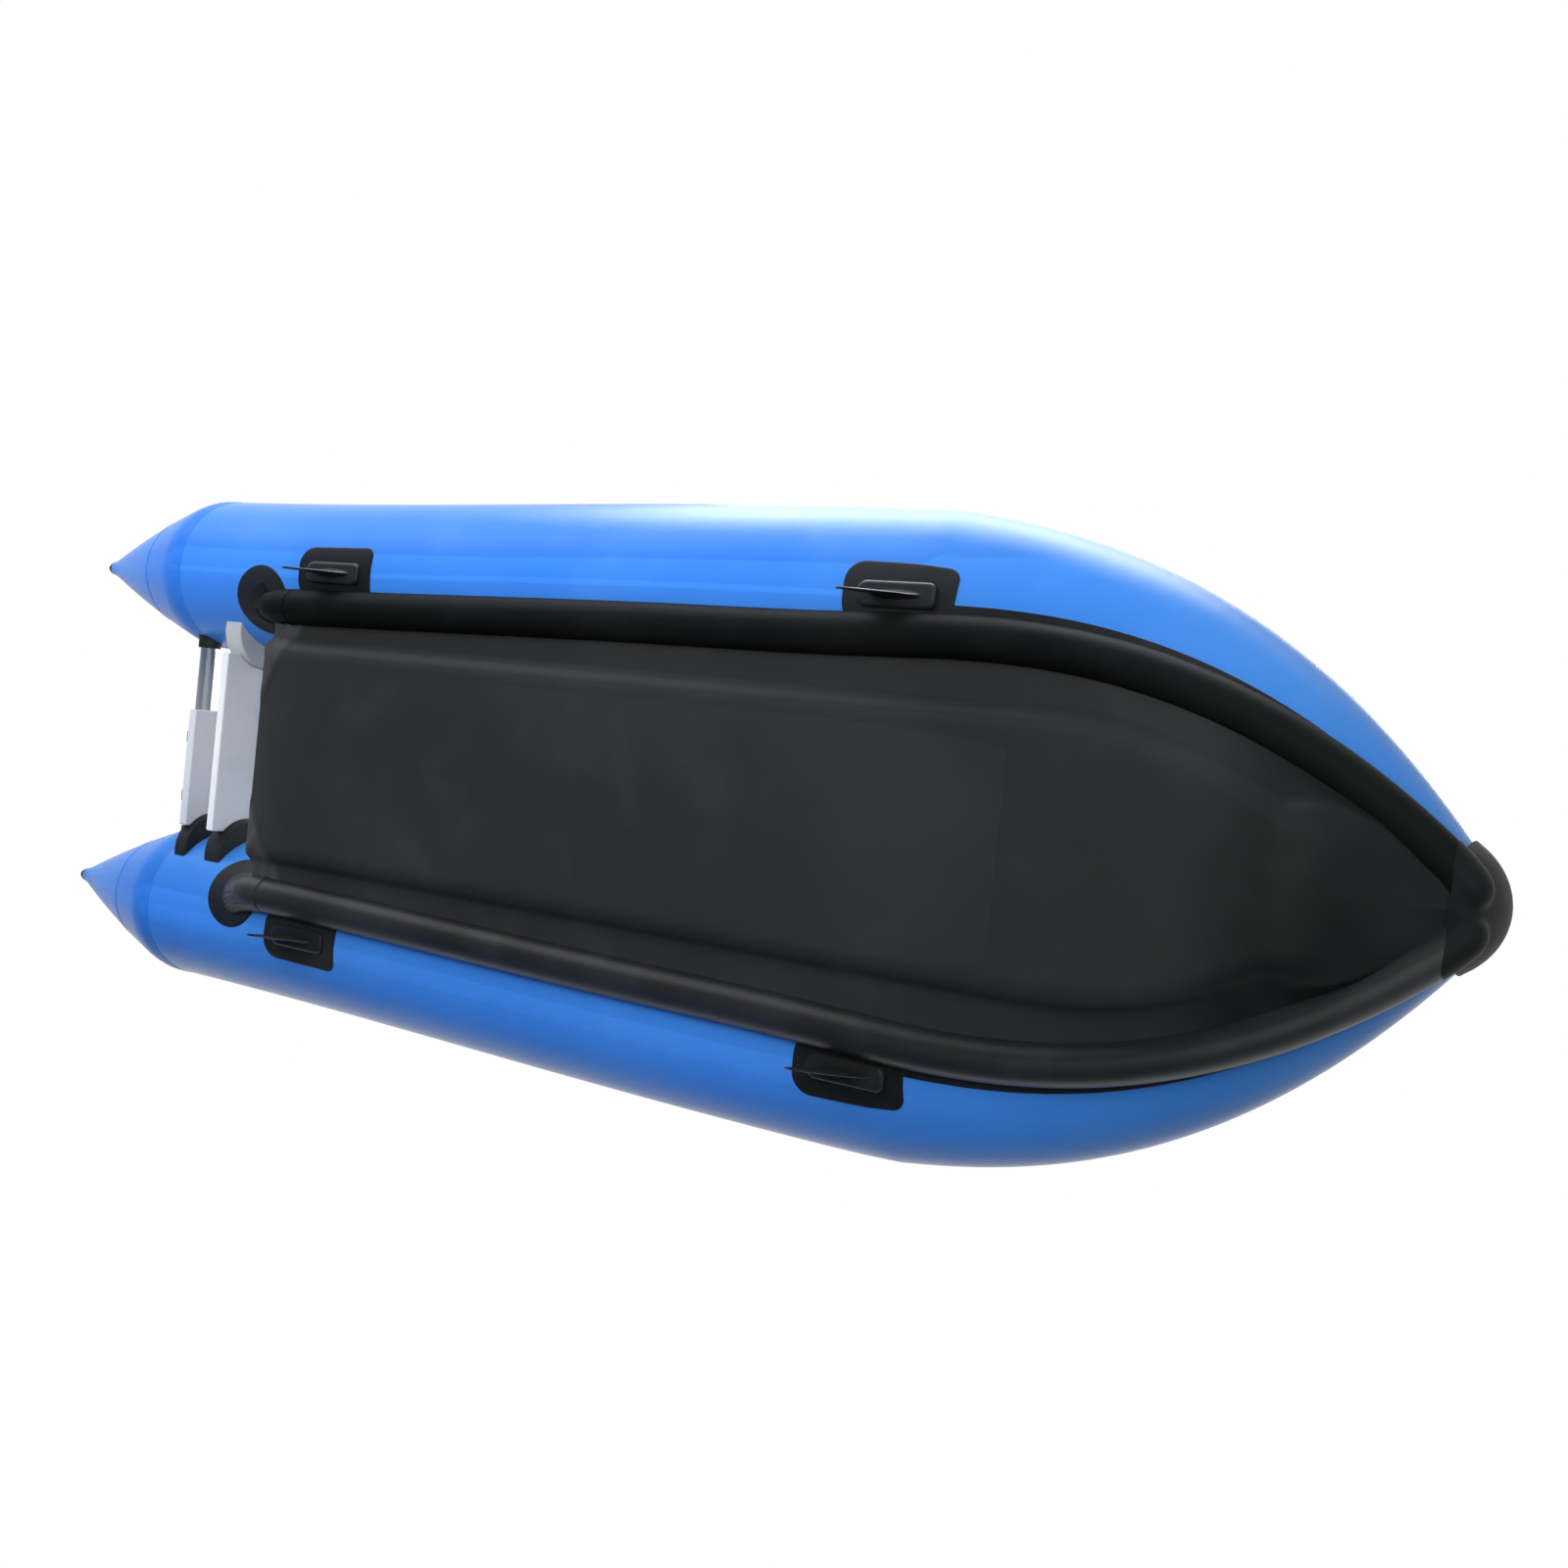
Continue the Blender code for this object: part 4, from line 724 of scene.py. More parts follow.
# One keel cloth in two copies: the port one paler as painted sheen, the starboard one darker as painted
# shade.
keel_cloths_painted_sheen_and_shade = {1: coated_cloth("port_keel_cloth_painted_sheen", PORT_KEEL_PAINTED_SHEEN_BLACK, PORT_KEEL_PAINTED_SHEEN_WORN, 0.38, 0.50),
               -1: coated_cloth("starboard_keel_cloth_painted_shade", STARBOARD_KEEL_PAINTED_SHADE_BLACK, STARBOARD_KEEL_PAINTED_SHADE_WORN, 0.55, 0.05)}
keel_x = list(np.arange(KEEL_START, KEEL_END, 0.014)) + [KEEL_END]
for label, side in SIDES:
    path = capped([keel_point(x, side) for x in keel_x], [keel_radius(x) for x in keel_x],
                  [tube_out(x, side, -keel_angle(x)) for x in keel_x])
    swept(label + "_keel", *path, keel_cloths_painted_sheen_and_shade[side], sides=48,
          girth_length=2 * math.pi * KEEL_RADIUS, slot="black_hull", stands_for=(label + "_keel_tube",))
    sleeve = skinned(keel_sleeve(side), cloth=lambda i, k: (i * 0.004, k * 0.004))
    piece(label + "_keel_sleeve", sleeve, keel_cloths_painted_sheen_and_shade[side], slot="black_hull")
    laid_sheet(label + "_keel_patch", disc_outline(KEEL_PATCH_RADIUS), SHEET_RIM,
               tube_place(KEEL_PATCH_X, side, -KEEL_ANGLE), black_cloth,
               slot="black_hull", stands_for=(label + "_keel_end_patch",))
    taped = list(np.arange(KEEL_TAPE_ENDS[0], KEEL_TAPE_ENDS[1], 0.016))
    feet = [keel_foot(x, KEEL_TAPE_HALF * 0.5) for x in taped]
    line = [on_tube(x, side, foot, 0.0002) for x, foot in zip(taped, feet)]
    outs = [tube_out(x, side, foot) for x, foot in zip(taped, feet)]
    swept(label + "_keel_tape", line, [1.0] * len(taped), outs, black_cloth, sides=16,
          height=0.0009, width=KEEL_TAPE_HALF, square=0.35, slot="black_hull")

# Air deck.
# A flat drop-stitch panel of grey coated fabric with half-round sides and a blunt front. Its top has a
# ribbed non-slip sheet. It lies between the hull tubes on the skin.
DECK_START = 0.385
DECK_THICKNESS = 0.090
DECK_BOTTOM = -0.1976
DECK_HALF_WIDTH = 0.190
DECK_FRONT_HALF_WIDTH = 0.090
DECK_NARROW_START = 2.09964
DECK_FRONT = 2.45484
DECK_NARROW_POWER = 2.4
DECK_RISE_SHARE = 0.92
DECK_EASES = [0.05 * k for k in range(-5, 6)]
DECK_EDGE_STEPS = 8
GREY = (0.30, 0.335, 0.36)
GREY_WORN = (0.2592, 0.2772, 0.2880)


def deck_half_width(x):
    narrow = share(x, DECK_NARROW_START, DECK_FRONT) ** DECK_NARROW_POWER
    return DECK_HALF_WIDTH - (DECK_HALF_WIDTH - DECK_FRONT_HALF_WIDTH) * narrow


def deck_rise(x):
    """Rise of the deck and its skin: the cloth eases into the tubes' rise over half a metre."""
    return DECK_RISE_SHARE * sum(rise(x + ease) for ease in DECK_EASES) / len(DECK_EASES)


def deck_ring(x, shrink):
    """Closed outline across the deck, drawn in all round by shrink."""
    radius = DECK_THICKNESS / 2
    middle = TUBE_AXIS_HEIGHT + DECK_BOTTOM + GAP + radius + deck_rise(x)
    flat = deck_half_width(x) - 0.6 * shrink
    own = max(radius - shrink, 0.0005)
    points = []
    for side in (1, -1):
        for k in range(17):
            turn = math.radians(-90.0 + 180.0 * k / 16)
            points.append((side * (flat + own * math.cos(turn)), middle + side * own * math.sin(turn)))
        for k in range(1, 12):
            points.append((side * flat * (1.0 - k / 6.0), middle + side * own))
    return [Vector((STERN_X + x, y, z)) for y, z in points]


def deck_cloth():
    """Grey coated fabric whose flat top is ribbed across and dimpled by the threads inside."""
    look, flow, shader = new_look("deck_coated_cloth", GREY, 0.55, 0.35)
    place = flow.place()
    spot = place.split()
    up = flow.node("ShaderNodeNewGeometry")["Normal"].split()["Z"]
    flat = up.between(0.96, 0.995) * (1.0 - abs(spot["Y"]).between(0.165, 0.170))
    rib = (spot["X"] * (2 * math.pi / 0.012)).sine().between(-0.5, 0.5)
    fine = (spot["X"] * (2 * math.pi / 0.0016)).sine() * (spot["Y"] * (2 * math.pi / 0.0016)).sine()
    dimple = flow.node("ShaderNodeTexVoronoi", {}, {"Vector": place, "Scale": 120.0})["Distance"]
    cloud = place.noise(6.0, 6.0)
    dirt = cloud.between(0.45, 0.75) * 0.6 + (1.0 - rib) * flat * 0.25
    shaded(flow, shader, dirt, GREY, GREY_WORN, 0.50 + cloud * 0.18,
           rib * flat * 0.0006 + fine * 0.00003 + dimple * 0.00025)
    return look


radius = DECK_THICKNESS / 2
edge = [radius * (1.0 - math.cos(math.pi / 2 * k / DECK_EDGE_STEPS)) for k in range(DECK_EDGE_STEPS)]
drawn = [radius - math.sqrt(max(radius ** 2 - (radius - d) ** 2, 0.0)) for d in edge]
deck_rows = [deck_ring(DECK_START + d, s) for d, s in zip(edge, drawn)]
deck_rows += [deck_ring(x, 0.0) for x in np.arange(DECK_START + radius, DECK_FRONT - radius, 0.02)]
deck_rows += [deck_ring(DECK_FRONT - d, s) for d, s in reversed(list(zip(edge, drawn)))]
piece("deck", skinned(deck_rows), deck_cloth(), slot="deck_grey", stands_for=("air_deck",))

# Bottom skin.
# One sheet of black coated fabric pulled over the deck's underside from keel tube to keel tube. Ahead of the
# deck it is stretched hollow up to the bow. Its aft corners are gathered in creases where they are welded.
SKIN_START = 0.365
SKIN_THICKNESS = 0.002
SKIN_WRAP = math.radians(62.0)
SKIN_EDGE_SHARE = 0.55
SKIN_VALLEY_SHARE = 0.35
SKIN_BOW_HOLLOW = 0.010
SKIN_BOW_SAG = 0.012
SKIN_STEP_BACK = 0.012
SKIN_STEP_LENGTH = 0.190
SKIN_END = 2.640
SKIN_ACROSS = 84
GATHER_EDGE = 0.300
GATHER_LENGTH = 0.100
GATHER_WIDTH = 0.210
CREASE_DEPTH = 0.011
CREASE_COUNTS = (15.0, 31.0)
# Pale tone for the rubbed folds and for the painted light over the deck.
SKIN_WORN_AND_PAINTED_LIGHT = (0.058, 0.061, 0.063)
FOLD_WEAR = 0.75
DECK_PAINTED_LIGHT = 0.36


def smoothed(points, count):
    """A rounded line through the middles of a row of points, as evenly spaced points."""
    for _ in range(3):
        cut = [points[0]]
        for (ay, az), (by, bz) in zip(points, points[1:]):
            cut += [(ay * near + by * (1.0 - near), az * near + bz * (1.0 - near)) for near in (0.75, 0.25)]
        points = cut + [points[-1]]
    line = np.array(points)
    run = np.concatenate([[0.0], np.cumsum(np.hypot(*np.diff(line, axis=0).T))])
    even = np.linspace(0.0, run[-1], count)
    return [(float(np.interp(e, run, line[:, 0])), float(np.interp(e, run, line[:, 1]))) for e in even]


def skin_half(x):
    """The skin's line from the boat's middle out to the port keel tube."""
    wrap = DECK_THICKNESS / 2 + GAP + SKIN_THICKNESS / 2
    flat = deck_half_width(min(x, DECK_FRONT))
    level = TUBE_AXIS_HEIGHT + DECK_BOTTOM - SKIN_THICKNESS / 2 + deck_rise(x)
    keel = keel_point(x, 1)
    edge_y = keel.y - SKIN_EDGE_SHARE * keel_radius(x)
    over = [(flat * k / 4, level) for k in range(5)]
    for k in range(1, 5):
        turn = SKIN_WRAP * k / 4
        over.append((flat + wrap * math.sin(turn), level + wrap * (1.0 - math.cos(turn))))
    valley = SKIN_VALLEY_SHARE * over[-1][1] + (1.0 - SKIN_VALLEY_SHARE) * keel.z
    over.append(((over[-1][0] + edge_y) / 2, valley))
    over.append((edge_y, keel.z))
    hollow = []
    for k in range(len(over)):
        t = k / (len(over) - 1)
        belly = SKIN_BOW_HOLLOW * (1.0 - t * t) - SKIN_BOW_SAG * (1.0 - t)
        hollow.append((edge_y * t, keel.z + belly))
    start = DECK_FRONT - SKIN_STEP_BACK
    blend = share(x, start, start + SKIN_STEP_LENGTH)
    blend = blend * blend * (3.0 - 2.0 * blend)
    mixed = [(a[0] + (b[0] - a[0]) * blend, a[1] + (b[1] - a[1]) * blend) for a, b in zip(over, hollow)]
    return keel.x, smoothed(mixed, SKIN_ACROSS // 2 + 1)


def crease(x, y):
    """Folds that fan out over the skin's aft corners from the keel tube's start."""
    ahead, inward = x - (STERN_X + SKIN_START), GATHER_EDGE - y
    fade = max(1.0 - ahead / GATHER_LENGTH - max(inward, 0.0) / GATHER_WIDTH, 0.0) ** 0.6
    turn = math.atan2(inward + 0.02, ahead + 0.012)
    far = math.hypot(ahead, inward)
    wave = math.sin(turn * CREASE_COUNTS[0] + 1.2 * math.sin(far * 60.0))
    wave += 0.5 * math.sin(turn * CREASE_COUNTS[1] + far * 90.0)
    return -CREASE_DEPTH * fade * max(0.5 + 0.4 * wave, 0.0) * min(far / 0.02, 1.0)


def skin_wear_and_painted_light(spot):
    """Share of paler cloth: rubbed in the folds of the aft corners, and painted light over the deck, which
    leaves the hollow ahead of it darker as painted shade.
    """
    ahead = (spot["X"] - (STERN_X + SKIN_START)) * (1.0 / GATHER_LENGTH)
    inward = (GATHER_EDGE - abs(spot["Y"])) * (1.0 / GATHER_WIDTH)
    # Painted light: the skin over the deck is paler, and the hollow ahead of it is left darker as painted
    # shade.
    under = 1.0 - spot["X"].between(STERN_X + DECK_FRONT - 0.12, STERN_X + DECK_FRONT + 0.04)
    return (1.0 - (ahead + inward).between(0.75, 1.05)) * FOLD_WEAR + under * DECK_PAINTED_LIGHT


skin_x = [*np.arange(SKIN_START, SKIN_START + 0.2, 0.005), *np.arange(SKIN_START + 0.2, 2.40, 0.015),
          *np.arange(2.40, 2.56, 0.006), *np.linspace(2.56, SKIN_END, 8)]
skin_rows = []
for x in skin_x:
    at, half = skin_half(x)
    full = [(y, z + crease(at, y)) for y, z in half]
    full = [(-y, z) for y, z in reversed(full[1:])] + full
    skin_rows.append([Vector((at, y, z)) for y, z in full])
skin_mesh = skinned(skin_rows, closed_rows=False, close_ends=False,
                    cloth=lambda i, k: (skin_rows[i][k].x, skin_rows[i][k].y))
holder = linked("skin_sheet", skin_mesh)
wall = holder.modifiers.new("wall", "SOLIDIFY")
wall.thickness = SKIN_THICKNESS
wall.offset = 0.0
skin_mesh = evaluated(holder)
bpy.data.objects.remove(holder)
skin_cloth = coated_cloth("skin_coated_cloth", BLACK, SKIN_WORN_AND_PAINTED_LIGHT, 0.48, 0.16, paler=skin_wear_and_painted_light)
piece("skin", skin_mesh, skin_cloth, slot="black_hull", stands_for=("bottom_skin",), smooth_angle=60)

# Nose cap.
# One soft moulded rubber cap over the ends of all four tubes, rounded in front and below, trimmed square
# behind. It is bonded over the tubes and its back rim stands a little proud.
NOSE_CAP_START = 2.715
NOSE_WALL = 0.006
NOSE_LENGTH = 0.132
NOSE_HALF_WIDTH = 0.119
NOSE_UPPER_HEIGHT = 0.119
NOSE_LOWER_HEIGHT = 0.160
NOSE_RIM = 0.0015
NOSE_KEEL_WALL = 0.0022
NOSE_GRID = 0.0035
NOSE_SOFTENING = 36
NOSE_KEEL_END = ((0.012, 0.98), (0.026, 0.84), (0.036, 0.58), (0.042, 0.25))


def tube_end(points, girths):
    """A solid round bar through the points, for joining to the nose."""
    rings = []
    for i, point in enumerate(points):
        ahead = (points[min(i + 1, len(points) - 1)] - points[max(i - 1, 0)]).normalized()
        aside = ahead.cross(Vector((0.0, 0.0, 1.0))).normalized()
        across = ahead.cross(aside)
        rings.append([point + (aside * math.cos(t) + across * math.sin(t)) * girths[i] for t in around(64)])
    return skinned(rings)


def joined(host, data, operation):
    """Joins a mesh to the host, or keeps only what lies inside it. Gives the helper back."""
    helper = linked("helper", data)
    step = host.modifiers.new("join", "BOOLEAN")
    step.operation, step.solver, step.object = operation, "EXACT", helper
    return helper


def nose_block():
    """A ball over the meeting point of the tubes, joined to thickened tube ends and smoothed."""
    centre = tube_axis(BOW_END, 1)
    ball = bmesh.new()
    bmesh.ops.create_uvsphere(ball, u_segments=64, v_segments=40, radius=1.0)
    for vertex in ball.verts:
        height = NOSE_UPPER_HEIGHT if vertex.co.z > 0.0 else NOSE_LOWER_HEIGHT
        stretched = (vertex.co.x * NOSE_LENGTH, vertex.co.y * NOSE_HALF_WIDTH, vertex.co.z * height)
        vertex.co = centre + Vector(stretched)
    host = linked("nose_ball", as_mesh(ball))
    helpers = []
    for label, side in SIDES:
        stations = list(np.linspace(BOW_END - 0.12, BOW_END, 10))
        hull = [tube_axis(x, side) for x in stations]
        hull.append(hull[-1] + (hull[-1] - hull[-2]).normalized() * TUBE_END_LENGTH)
        thick = [NOSE_RIM + (NOSE_WALL - NOSE_RIM) * share(x, NOSE_CAP_START, BOW_END) for x in stations]
        walls = [tube_radius(x) + wall for x, wall in zip(stations, thick)]
        helpers.append(joined(host, tube_end(hull, walls + walls[-1:]), "UNION"))
        stations = list(np.linspace(KEEL_END - 0.10, KEEL_END, 8))
        keel = [keel_point(x, side) for x in stations]
        ahead = (keel[-1] - keel[-2]).normalized()
        walls = [keel_radius(x) + NOSE_KEEL_WALL for x in stations]
        keel += [keel[-1] + ahead * d for d, part in NOSE_KEEL_END]
        walls += [walls[-1] * part for d, part in NOSE_KEEL_END]
        helpers.append(joined(host, tube_end(keel, walls), "UNION"))
    remesh = host.modifiers.new("remesh", "REMESH")
    remesh.mode = "VOXEL"
    remesh.voxel_size = NOSE_GRID
    soften = host.modifiers.new("soften", "SMOOTH")
    soften.factor = 0.5
    soften.iterations = NOSE_SOFTENING
    kept = bmesh.new()
    bmesh.ops.create_cube(kept, size=1.0)
    bmesh.ops.translate(kept, verts=kept.verts, vec=(STERN_X + NOSE_CAP_START + 0.5, 0.0, centre.z))
    helpers.append(joined(host, as_mesh(kept), "INTERSECT"))
    made = evaluated(host)
    for helper in helpers + [host]:
        bpy.data.objects.remove(helper)
    return made


nose_rubber = moulded("nose_rubber", BLACK, BLACK_WORN, 0.48, 0.12)
piece("nose", nose_block(), nose_rubber, slot="moulded_black", stands_for=("nose_cap",), smooth_angle=55)

# Fins.
# Four swept fins moulded in black rubber, each with a low rounded plinth, bonded to a patch that is welded
# under the hull tube. The blade is thick at its root, thin at its tip and leans back.
FIN_STATIONS = (0.50894, 1.82604)
FIN_PATCH_LENGTH = 0.208
FIN_PATCH_WIDTH = 0.108
FIN_PATCH_CORNERS = (0.020, 0.036)
FIN_PLINTH_LENGTH = 0.150
FIN_PLINTH_WIDTH = 0.044
FIN_PLINTH_CORNERS = (0.014, 0.021)
FIN_PLINTH_RIM = ((0.0, -0.004), (0.0, 0.0055), (0.0008, 0.0078), (0.0026, 0.0098), (0.0055, 0.0109))
FIN_BASE_AFT = -0.046
FIN_BASE_FORE = 0.062
FIN_TIP_X = -0.074
FIN_REACH = 0.0725
FIN_LEAD_POWER = 0.92
FIN_BACK_POWER = 0.9
FIN_HALF_THICKNESS = 0.0048
FIN_BLACK = (0.013, 0.014, 0.014)
PATCH_BLACK = (0.010, 0.011, 0.011)


def fin_ring(height, seat):
    """Outline of the blade at a height below its seat: a long leaf, rounded in front and thin behind."""
    part = min(height / FIN_REACH, 1.0)
    lead = (math.asin(part) * 2 / math.pi) ** (1.0 / FIN_LEAD_POWER)
    fore = FIN_BASE_FORE + (FIN_TIP_X - FIN_BASE_FORE) * lead
    back = math.sin(math.pi / 2 * (1.0 - part ** (1.0 / FIN_BACK_POWER)))
    aft = FIN_TIP_X + (FIN_BASE_AFT - FIN_TIP_X) * back
    thick = FIN_HALF_THICKNESS * (1.0 - 0.55 * part) + 0.006 * math.exp(-max(height - 0.010, 0.0) / 0.0035)
    middle, half = (fore + aft) / 2, max((fore - aft) / 2, 0.0006)
    slim, below = min(thick, half * 0.9), min(max(height, 0.004), FIN_REACH) if height else 0.002
    return [seat + Vector((middle + half * math.cos(turn), slim * math.sin(turn), -below))
            for turn in around(28)]


fin_rubber = moulded("fin_rubber", FIN_BLACK, BLACK_WORN, 0.30, 0.42)
patch_cloth = coated_cloth("patch_coated_cloth", PATCH_BLACK, BLACK_WORN, 0.46, 0.12)
for label, side in SIDES:
    for spot, x in zip(("aft", "fore"), FIN_STATIONS):
        name = label + "_" + spot
        outline = rounded_outline(FIN_PATCH_LENGTH, FIN_PATCH_WIDTH, *FIN_PATCH_CORNERS)
        laid_sheet(name + "_patch", outline, SHEET_RIM, tube_place(x, side, 0.0), patch_cloth,
                   slot="black_hull", stands_for=(name + "_fin_patch",))
        outline = rounded_outline(FIN_PLINTH_LENGTH, FIN_PLINTH_WIDTH, *FIN_PLINTH_CORNERS)
        seat = on_tube(x, side, 0.0)

        def level(u, v, lift, at=seat):
            return Vector((at.x + u, at.y - v, at.z - lift))

        laid_sheet(name + "_plinth", outline, FIN_PLINTH_RIM, level, fin_rubber, slot="moulded_black")
        heights = [FIN_REACH * (1.0 - (1.0 - k / 26) ** 1.6) for k in range(27)]
        piece(name + "_blade", skinned([fin_ring(height, seat) for height in heights]), fin_rubber,
              slot="moulded_black", stands_for=(name + "_fin",), smooth_angle=70)

# Rubber pads.
# Half-round blocks of moulded rubber, black to port and pale to starboard, bonded to the inner sides of the
# hull tubes at the stern. The hollowed ends of the two boards sit on them.
PAD_RADIUS = 0.080
PAD_STANDOFF = 0.044
PAD_DROP = 0.045
PAD_EDGE = 0.004
PAD_SINK = 0.006
PAD_PALE, PAD_PALE_WORN = (0.560, 0.570, 0.550), (0.440, 0.450, 0.440)
PAD_WORN = (0.034, 0.035, 0.036)
BOARD_X = 0.168
PLATE_PAD_X = 0.061
PADS = (
    ("port_board_pad", 1, BOARD_X, 0.050), ("starboard_board_pad", -1, BOARD_X, 0.050),
    ("port_plate_pad", 1, PLATE_PAD_X, 0.036),
)


def arc(middle, radius, start, end, steps):
    turns = [start + (end - start) * k / steps for k in range(steps + 1)]
    return [(middle[0] + radius * math.cos(turn), middle[1] + radius * math.sin(turn)) for turn in turns]


def pad_middle(side):
    inner = STERN_HALF_SPACING - math.sqrt(TUBE_RADIUS ** 2 - PAD_DROP ** 2)
    return side * (inner - PAD_STANDOFF + PAD_RADIUS), TUBE_AXIS_HEIGHT - PAD_DROP


def pad_outline(side):
    """The pad's round face, closed by the hull tube's curve a little inside the tube."""
    middle, hull = pad_middle(side), (side * STERN_HALF_SPACING, TUBE_AXIS_HEIGHT)
    own = TUBE_RADIUS - PAD_SINK
    far = math.hypot(hull[0] - middle[0], hull[1] - middle[1])
    aim = math.atan2(hull[1] - middle[1], hull[0] - middle[0])
    here = math.acos((PAD_RADIUS ** 2 + far ** 2 - own ** 2) / (2 * PAD_RADIUS * far))
    there = math.acos((own ** 2 + far ** 2 - PAD_RADIUS ** 2) / (2 * own * far))
    face = arc(middle, PAD_RADIUS, aim + here, aim - here + 2 * math.pi, 64)
    return face + arc(hull, own, aim + math.pi + there, aim + math.pi - there, 24)[1:-1]


def slab(name, outline, x, thickness, edge, look, **details):
    """A block cut to an outline across the boat, with its rims rounded."""
    mesh = bmesh.new()
    aft = mesh.faces.new([mesh.verts.new((STERN_X + x - thickness / 2, y, z)) for y, z in outline])
    grown_part = bmesh.ops.extrude_face_region(mesh, geom=[aft])["geom"]
    front = [item for item in grown_part if isinstance(item, bmesh.types.BMVert)]
    bmesh.ops.translate(mesh, verts=front, vec=(thickness, 0.0, 0.0))
    rims = [e for e in mesh.edges if abs(e.verts[0].co.x - e.verts[1].co.x) < 0.00001]
    bmesh.ops.bevel(mesh, geom=rims, offset=edge, segments=4, profile=0.5, affect="EDGES")
    broad = sorted(mesh.faces, key=lambda f: -f.calc_area())[:2]
    bmesh.ops.inset_individual(mesh, faces=broad, thickness=0.0006, use_even_offset=True)
    return piece(name, as_mesh(mesh), look, smooth_angle=50, **details)


pale_rubber = moulded("pale_pad_rubber", PAD_PALE, PAD_PALE_WORN, 0.55, 0.30, 0.0002, 700.0)
pad_rubber = moulded("pad_rubber", FIN_BLACK, PAD_WORN, 0.60, 0.30, 0.0002, 700.0)
for name, side, x, length in PADS:
    rubber = pale_rubber if side < 0 else pad_rubber
    slab(name + "_block", pad_outline(side), x, length, PAD_EDGE, rubber, slot="moulded_black",
         stands_for=(name,))

# Stern board.
# A sheet of pale grey closed-cell plastic board set upright between the hull tubes. Its corners are rounded,
# and its ends are hollowed to sit on the pads.
BOARD_THICKNESS = 0.020
BOARD_HEIGHTS = (-0.138, 0.100)
BOARD_HALF_LENGTH = 0.194
BOARD_CORNER = 0.005
BOARD_EDGE = 0.003
BOARD_GREY = (0.840, 0.860, 0.850)
BOARD_WORN = (0.480, 0.550, 0.600)


def board_end(end, side, heights, hollow):
    """One end of a board from its lower to its upper corner."""
    low, high = (TUBE_AXIS_HEIGHT + height for height in heights)
    back, round_by = end - side * BOARD_CORNER, BOARD_CORNER
    quarter = [math.pi / 2 * k / 4 for k in range(5)]
    line = [(back + side * round_by * math.sin(t), low + round_by * (1.0 - math.cos(t))) for t in quarter]
    if hollow:
        middle, radius = pad_middle(side), PAD_RADIUS + GAP
        half = math.acos(abs(middle[0] - end) / radius)
        for k in range(33):
            t = half * (k / 16 - 1.0)
            line.append((middle[0] - side * radius * math.cos(t), middle[1] + radius * math.sin(t)))
    return line + [(back + side * round_by * math.cos(t), high - round_by * (1.0 - math.sin(t)))
                   for t in quarter]


def sheet_board(name, colour, worn, roughness):
    """Smooth hard sheet: a fine orange peel, faint long scratches and a little water marking."""
    look, flow, shader = new_look(name, colour, roughness, 0.40)
    place = flow.place()
    peel, marks = place.noise(420.0, 2.0), place.noise(11.0, 6.0)
    drawn = place.stretched((60.0, 7.0, 900.0), Rotation=(0.35, 0.0, 0.0))
    scratch = drawn.noise(1.0, 3.0).between(0.66, 0.74)
    edge = flow.node("ShaderNodeNewGeometry")["Pointiness"].between(0.53, 0.60)
    soil = marks.between(0.50, 0.80) * 0.30 + scratch * 0.25 - edge * 0.2
    shaded(flow, shader, soil, colour, worn, roughness + marks * 0.14 + scratch * 0.08,
           peel * 0.00010 - scratch * 0.00005)
    return look


board_look = sheet_board("board_sheet", BOARD_GREY, BOARD_WORN, 0.42)
outline = board_end(BOARD_HALF_LENGTH, 1, BOARD_HEIGHTS, True)
outline += board_end(-BOARD_HALF_LENGTH, -1, BOARD_HEIGHTS, True)[::-1]
slab("board", outline, BOARD_X, BOARD_THICKNESS, BOARD_EDGE, board_look, slot="board_grey",
     stands_for=("stern_board",))

# Motor plate.
# A lilac grey sheet of the same kind, offset to port and standing higher, so that a small motor's bracket can
# be screwed on over it. Its port end sits on a pad, and two clamps hold it on the cross tube.
PLATE_X = 0.055
PLATE_THICKNESS = 0.022
PLATE_HEIGHTS = (-0.119, 0.150)
PLATE_INNER_END = -0.062
PLATE_GREY = (0.660, 0.670, 0.705)
PLATE_WORN = (0.510, 0.530, 0.630)

plate_look = sheet_board("plate_sheet", PLATE_GREY, PLATE_WORN, 0.40)
outline = board_end(BOARD_HALF_LENGTH, 1, PLATE_HEIGHTS, True)
outline += board_end(PLATE_INNER_END, -1, PLATE_HEIGHTS, False)[::-1]
slab("plate", outline, PLATE_X, PLATE_THICKNESS, BOARD_EDGE, plate_look, slot="plate_grey",
     stands_for=("motor_plate",))

# Cross tube.
# A polished stainless steel tube across the stern that stiffens it and carries the motor plate. It is drawn
# tube, so fine marks run along it.
CROSS_TUBE_RADIUS = 0.019
CROSS_TUBE_X = 0.0172
CROSS_TUBE_Z = -0.060
SOCKET_RADIUS = 0.024
SOCKET_THICKNESS = 0.016
SOCKET_DEPTH = 0.009
SOCKET_EDGE = 0.002
SOCKET_FLARE = 0.0035
STEEL = (0.62, 0.63, 0.64)
STEEL_SPOT = (0.5332, 0.5418, 0.5504)


def polished_steel(name, roughness, drawn_scale):
    """Polished steel with fine drawn marks and faint water spots."""
    look, flow, shader = new_look(name, STEEL, roughness, 0.5, metallic=1.0)
    marks = flow.place().stretched(drawn_scale).noise(1.0, 3.0)
    spots = flow.place().noise(70.0, 4.0).between(0.60, 0.72)
    shaded(flow, shader, spots, STEEL, STEEL_SPOT, roughness + marks * 0.10 + spots * 0.06, marks * 0.000015)
    return look


